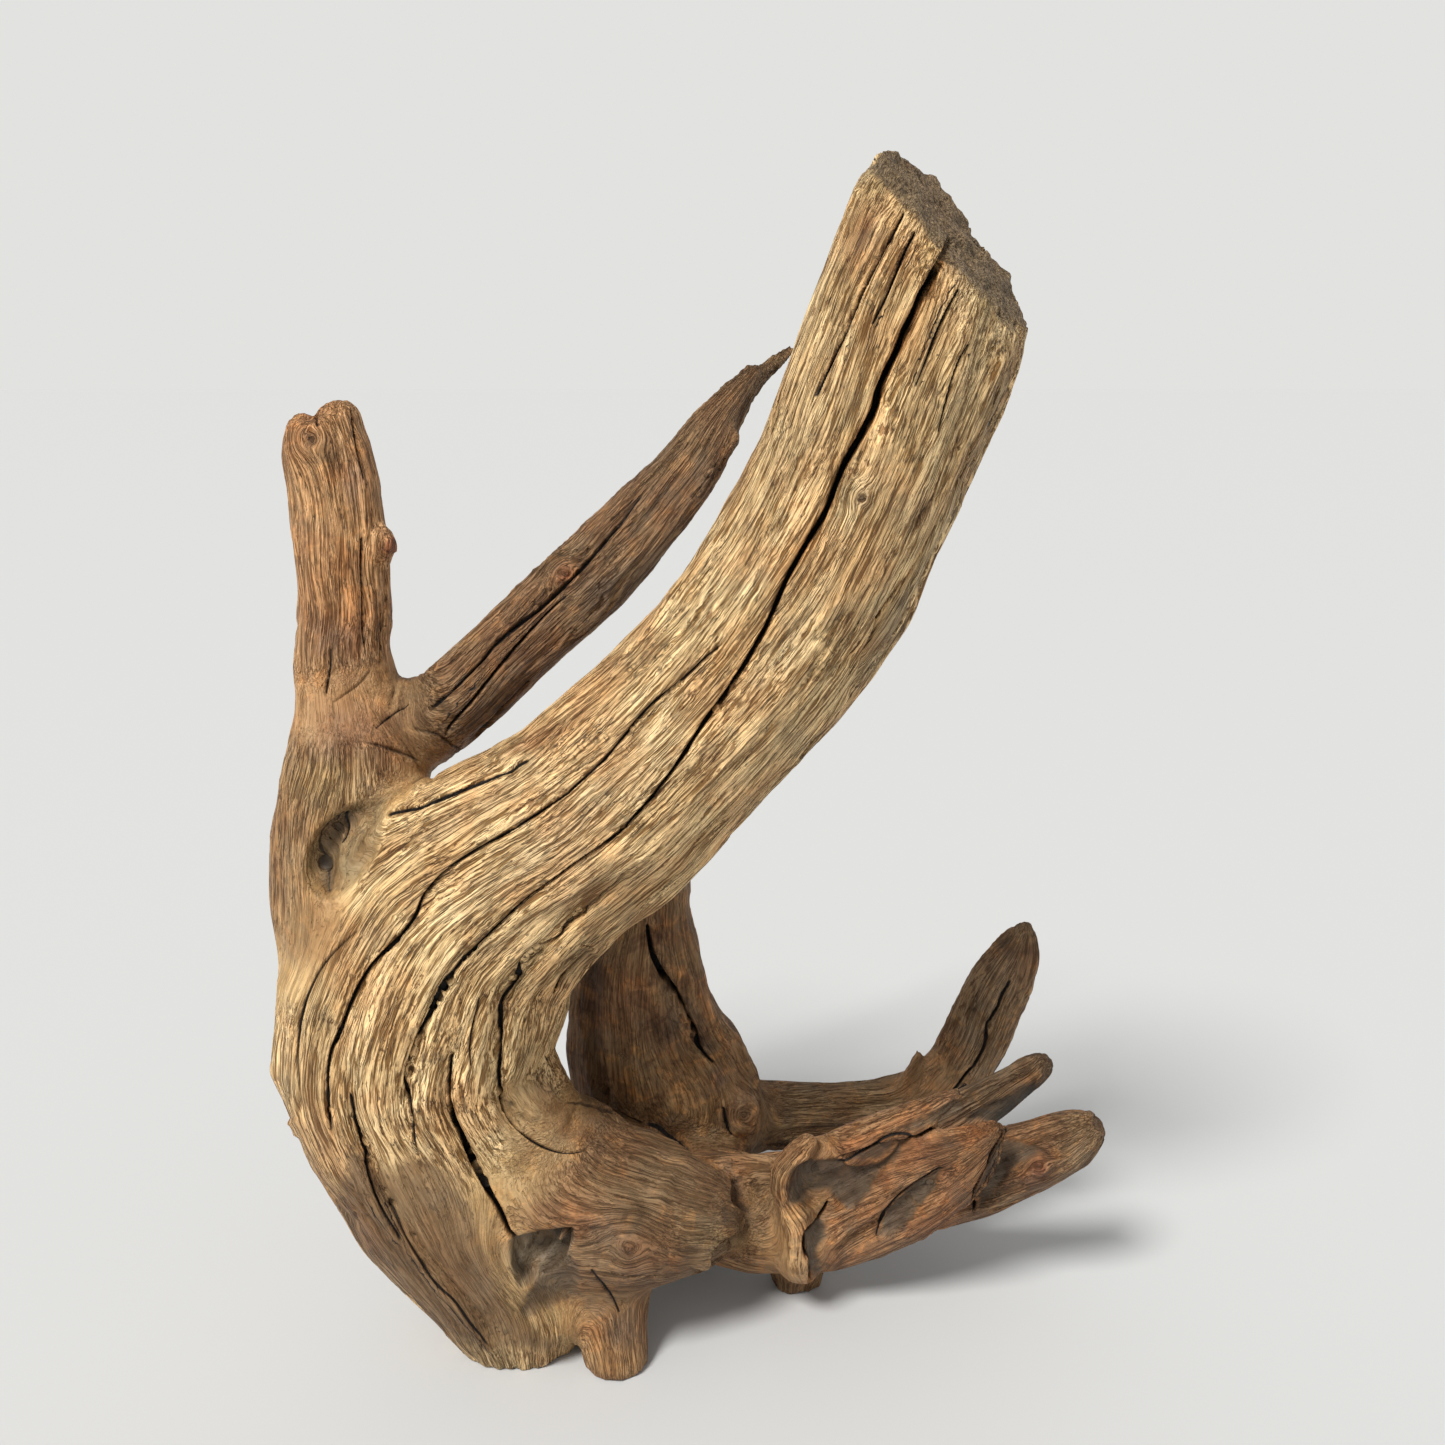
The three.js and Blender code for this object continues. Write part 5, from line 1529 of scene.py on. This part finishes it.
def buildWood():
    mesh = fineSkin()
    carvedSkin(mesh)
    print("carved skin")
    cutAtForks(mesh)
    pieces = separatePieces(mesh)
    groups = {"fibres": fibreGroup(), "flecks": fleckGroup(), "weather": weatherGroup()}
    materials = {name: woodMaterial(name, groups) for name in materialSet}
    for name, thing in pieces.items():
        piece = woodPieces[name]
        thing.data.materials.clear()
        thing.data.materials.append(materials[piece["slot"]])
        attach(thing, "root")
        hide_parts(piece["node"])
    print("wood:", len(pieces), "pieces")


roomSet = {
    "floorColour": (0.571, 0.586, 0.6),
    "floorSize": 14.0,
    "air": (1.0, 0.985, 0.96),
    "airStrength": 0.5,
    "distance": (0.761, 0.76, 0.744),  # what the camera sees past the floor
    "sunFrom": (-0.55, -0.75, 1.15),
    "sunStrength": 3.4,
    "sunSpread": 16.0,
    "sunColour": (1.0, 0.97, 0.92),
}


def skyShade(tree, colour, strength):
    shade = {"Color": (*roomSet[colour], 1), "Strength": strength}
    return addNode(tree, "ShaderNodeBackground", shade).outputs[0]


def buildRoom():
    scene = bpy.context.scene
    floorMesh = bmesh.new()
    bmesh.ops.create_grid(floorMesh, x_segments=4, y_segments=4, size=roomSet["floorSize"])
    mesh = bpy.data.meshes.new("floor")
    floorMesh.to_mesh(mesh)
    floorMesh.free()
    floor = linkedObject("floor", mesh)
    paint = bpy.data.materials.new("paleFloor")
    paint.use_nodes = True
    shader = paint.node_tree.nodes["Principled BSDF"]
    shader.inputs["Base Color"].default_value = (*roomSet["floorColour"], 1)
    shader.inputs["Roughness"].default_value = 0.8
    mesh.materials.append(paint)

    world = bpy.data.worlds.new("softSky")
    scene.world = world
    world.use_nodes = True
    tree = world.node_tree
    tree.nodes.clear()
    path = addNode(tree, "ShaderNodeLightPath")
    either = addNode(tree, "ShaderNodeMixShader")
    out = addNode(tree, "ShaderNodeOutputWorld")
    tree.links.new(path.outputs["Is Camera Ray"], either.inputs[0])
    tree.links.new(skyShade(tree, "air", roomSet["airStrength"]), either.inputs[1])
    tree.links.new(skyShade(tree, "distance", 1.0), either.inputs[2])
    tree.links.new(either.outputs[0], out.inputs["Surface"])

    sun = bpy.data.lights.new("sun", "SUN")
    sun.energy = roomSet["sunStrength"]
    sun.angle = math.radians(roomSet["sunSpread"])
    sun.color = roomSet["sunColour"]
    holder = linkedObject("sun", sun)
    holder.rotation_euler = Vector(roomSet["sunFrom"]).to_track_quat("Z", "Y").to_euler()
    scene.view_settings.view_transform = "Standard"

    camera = bpy.data.cameras.new("camera")
    camera.lens = cameraSet["lens"]
    camera.sensor_width = cameraSet["sensor"]
    holder = linkedObject("camera", camera)
    holder.location = cameraSet["place"]
    holder.rotation_euler = (math.radians(cameraSet["tiltDeg"]), 0, 0)
    scene.camera = holder
    print("room: floor, sky, lamps and camera")


buildRoom()
buildWood()
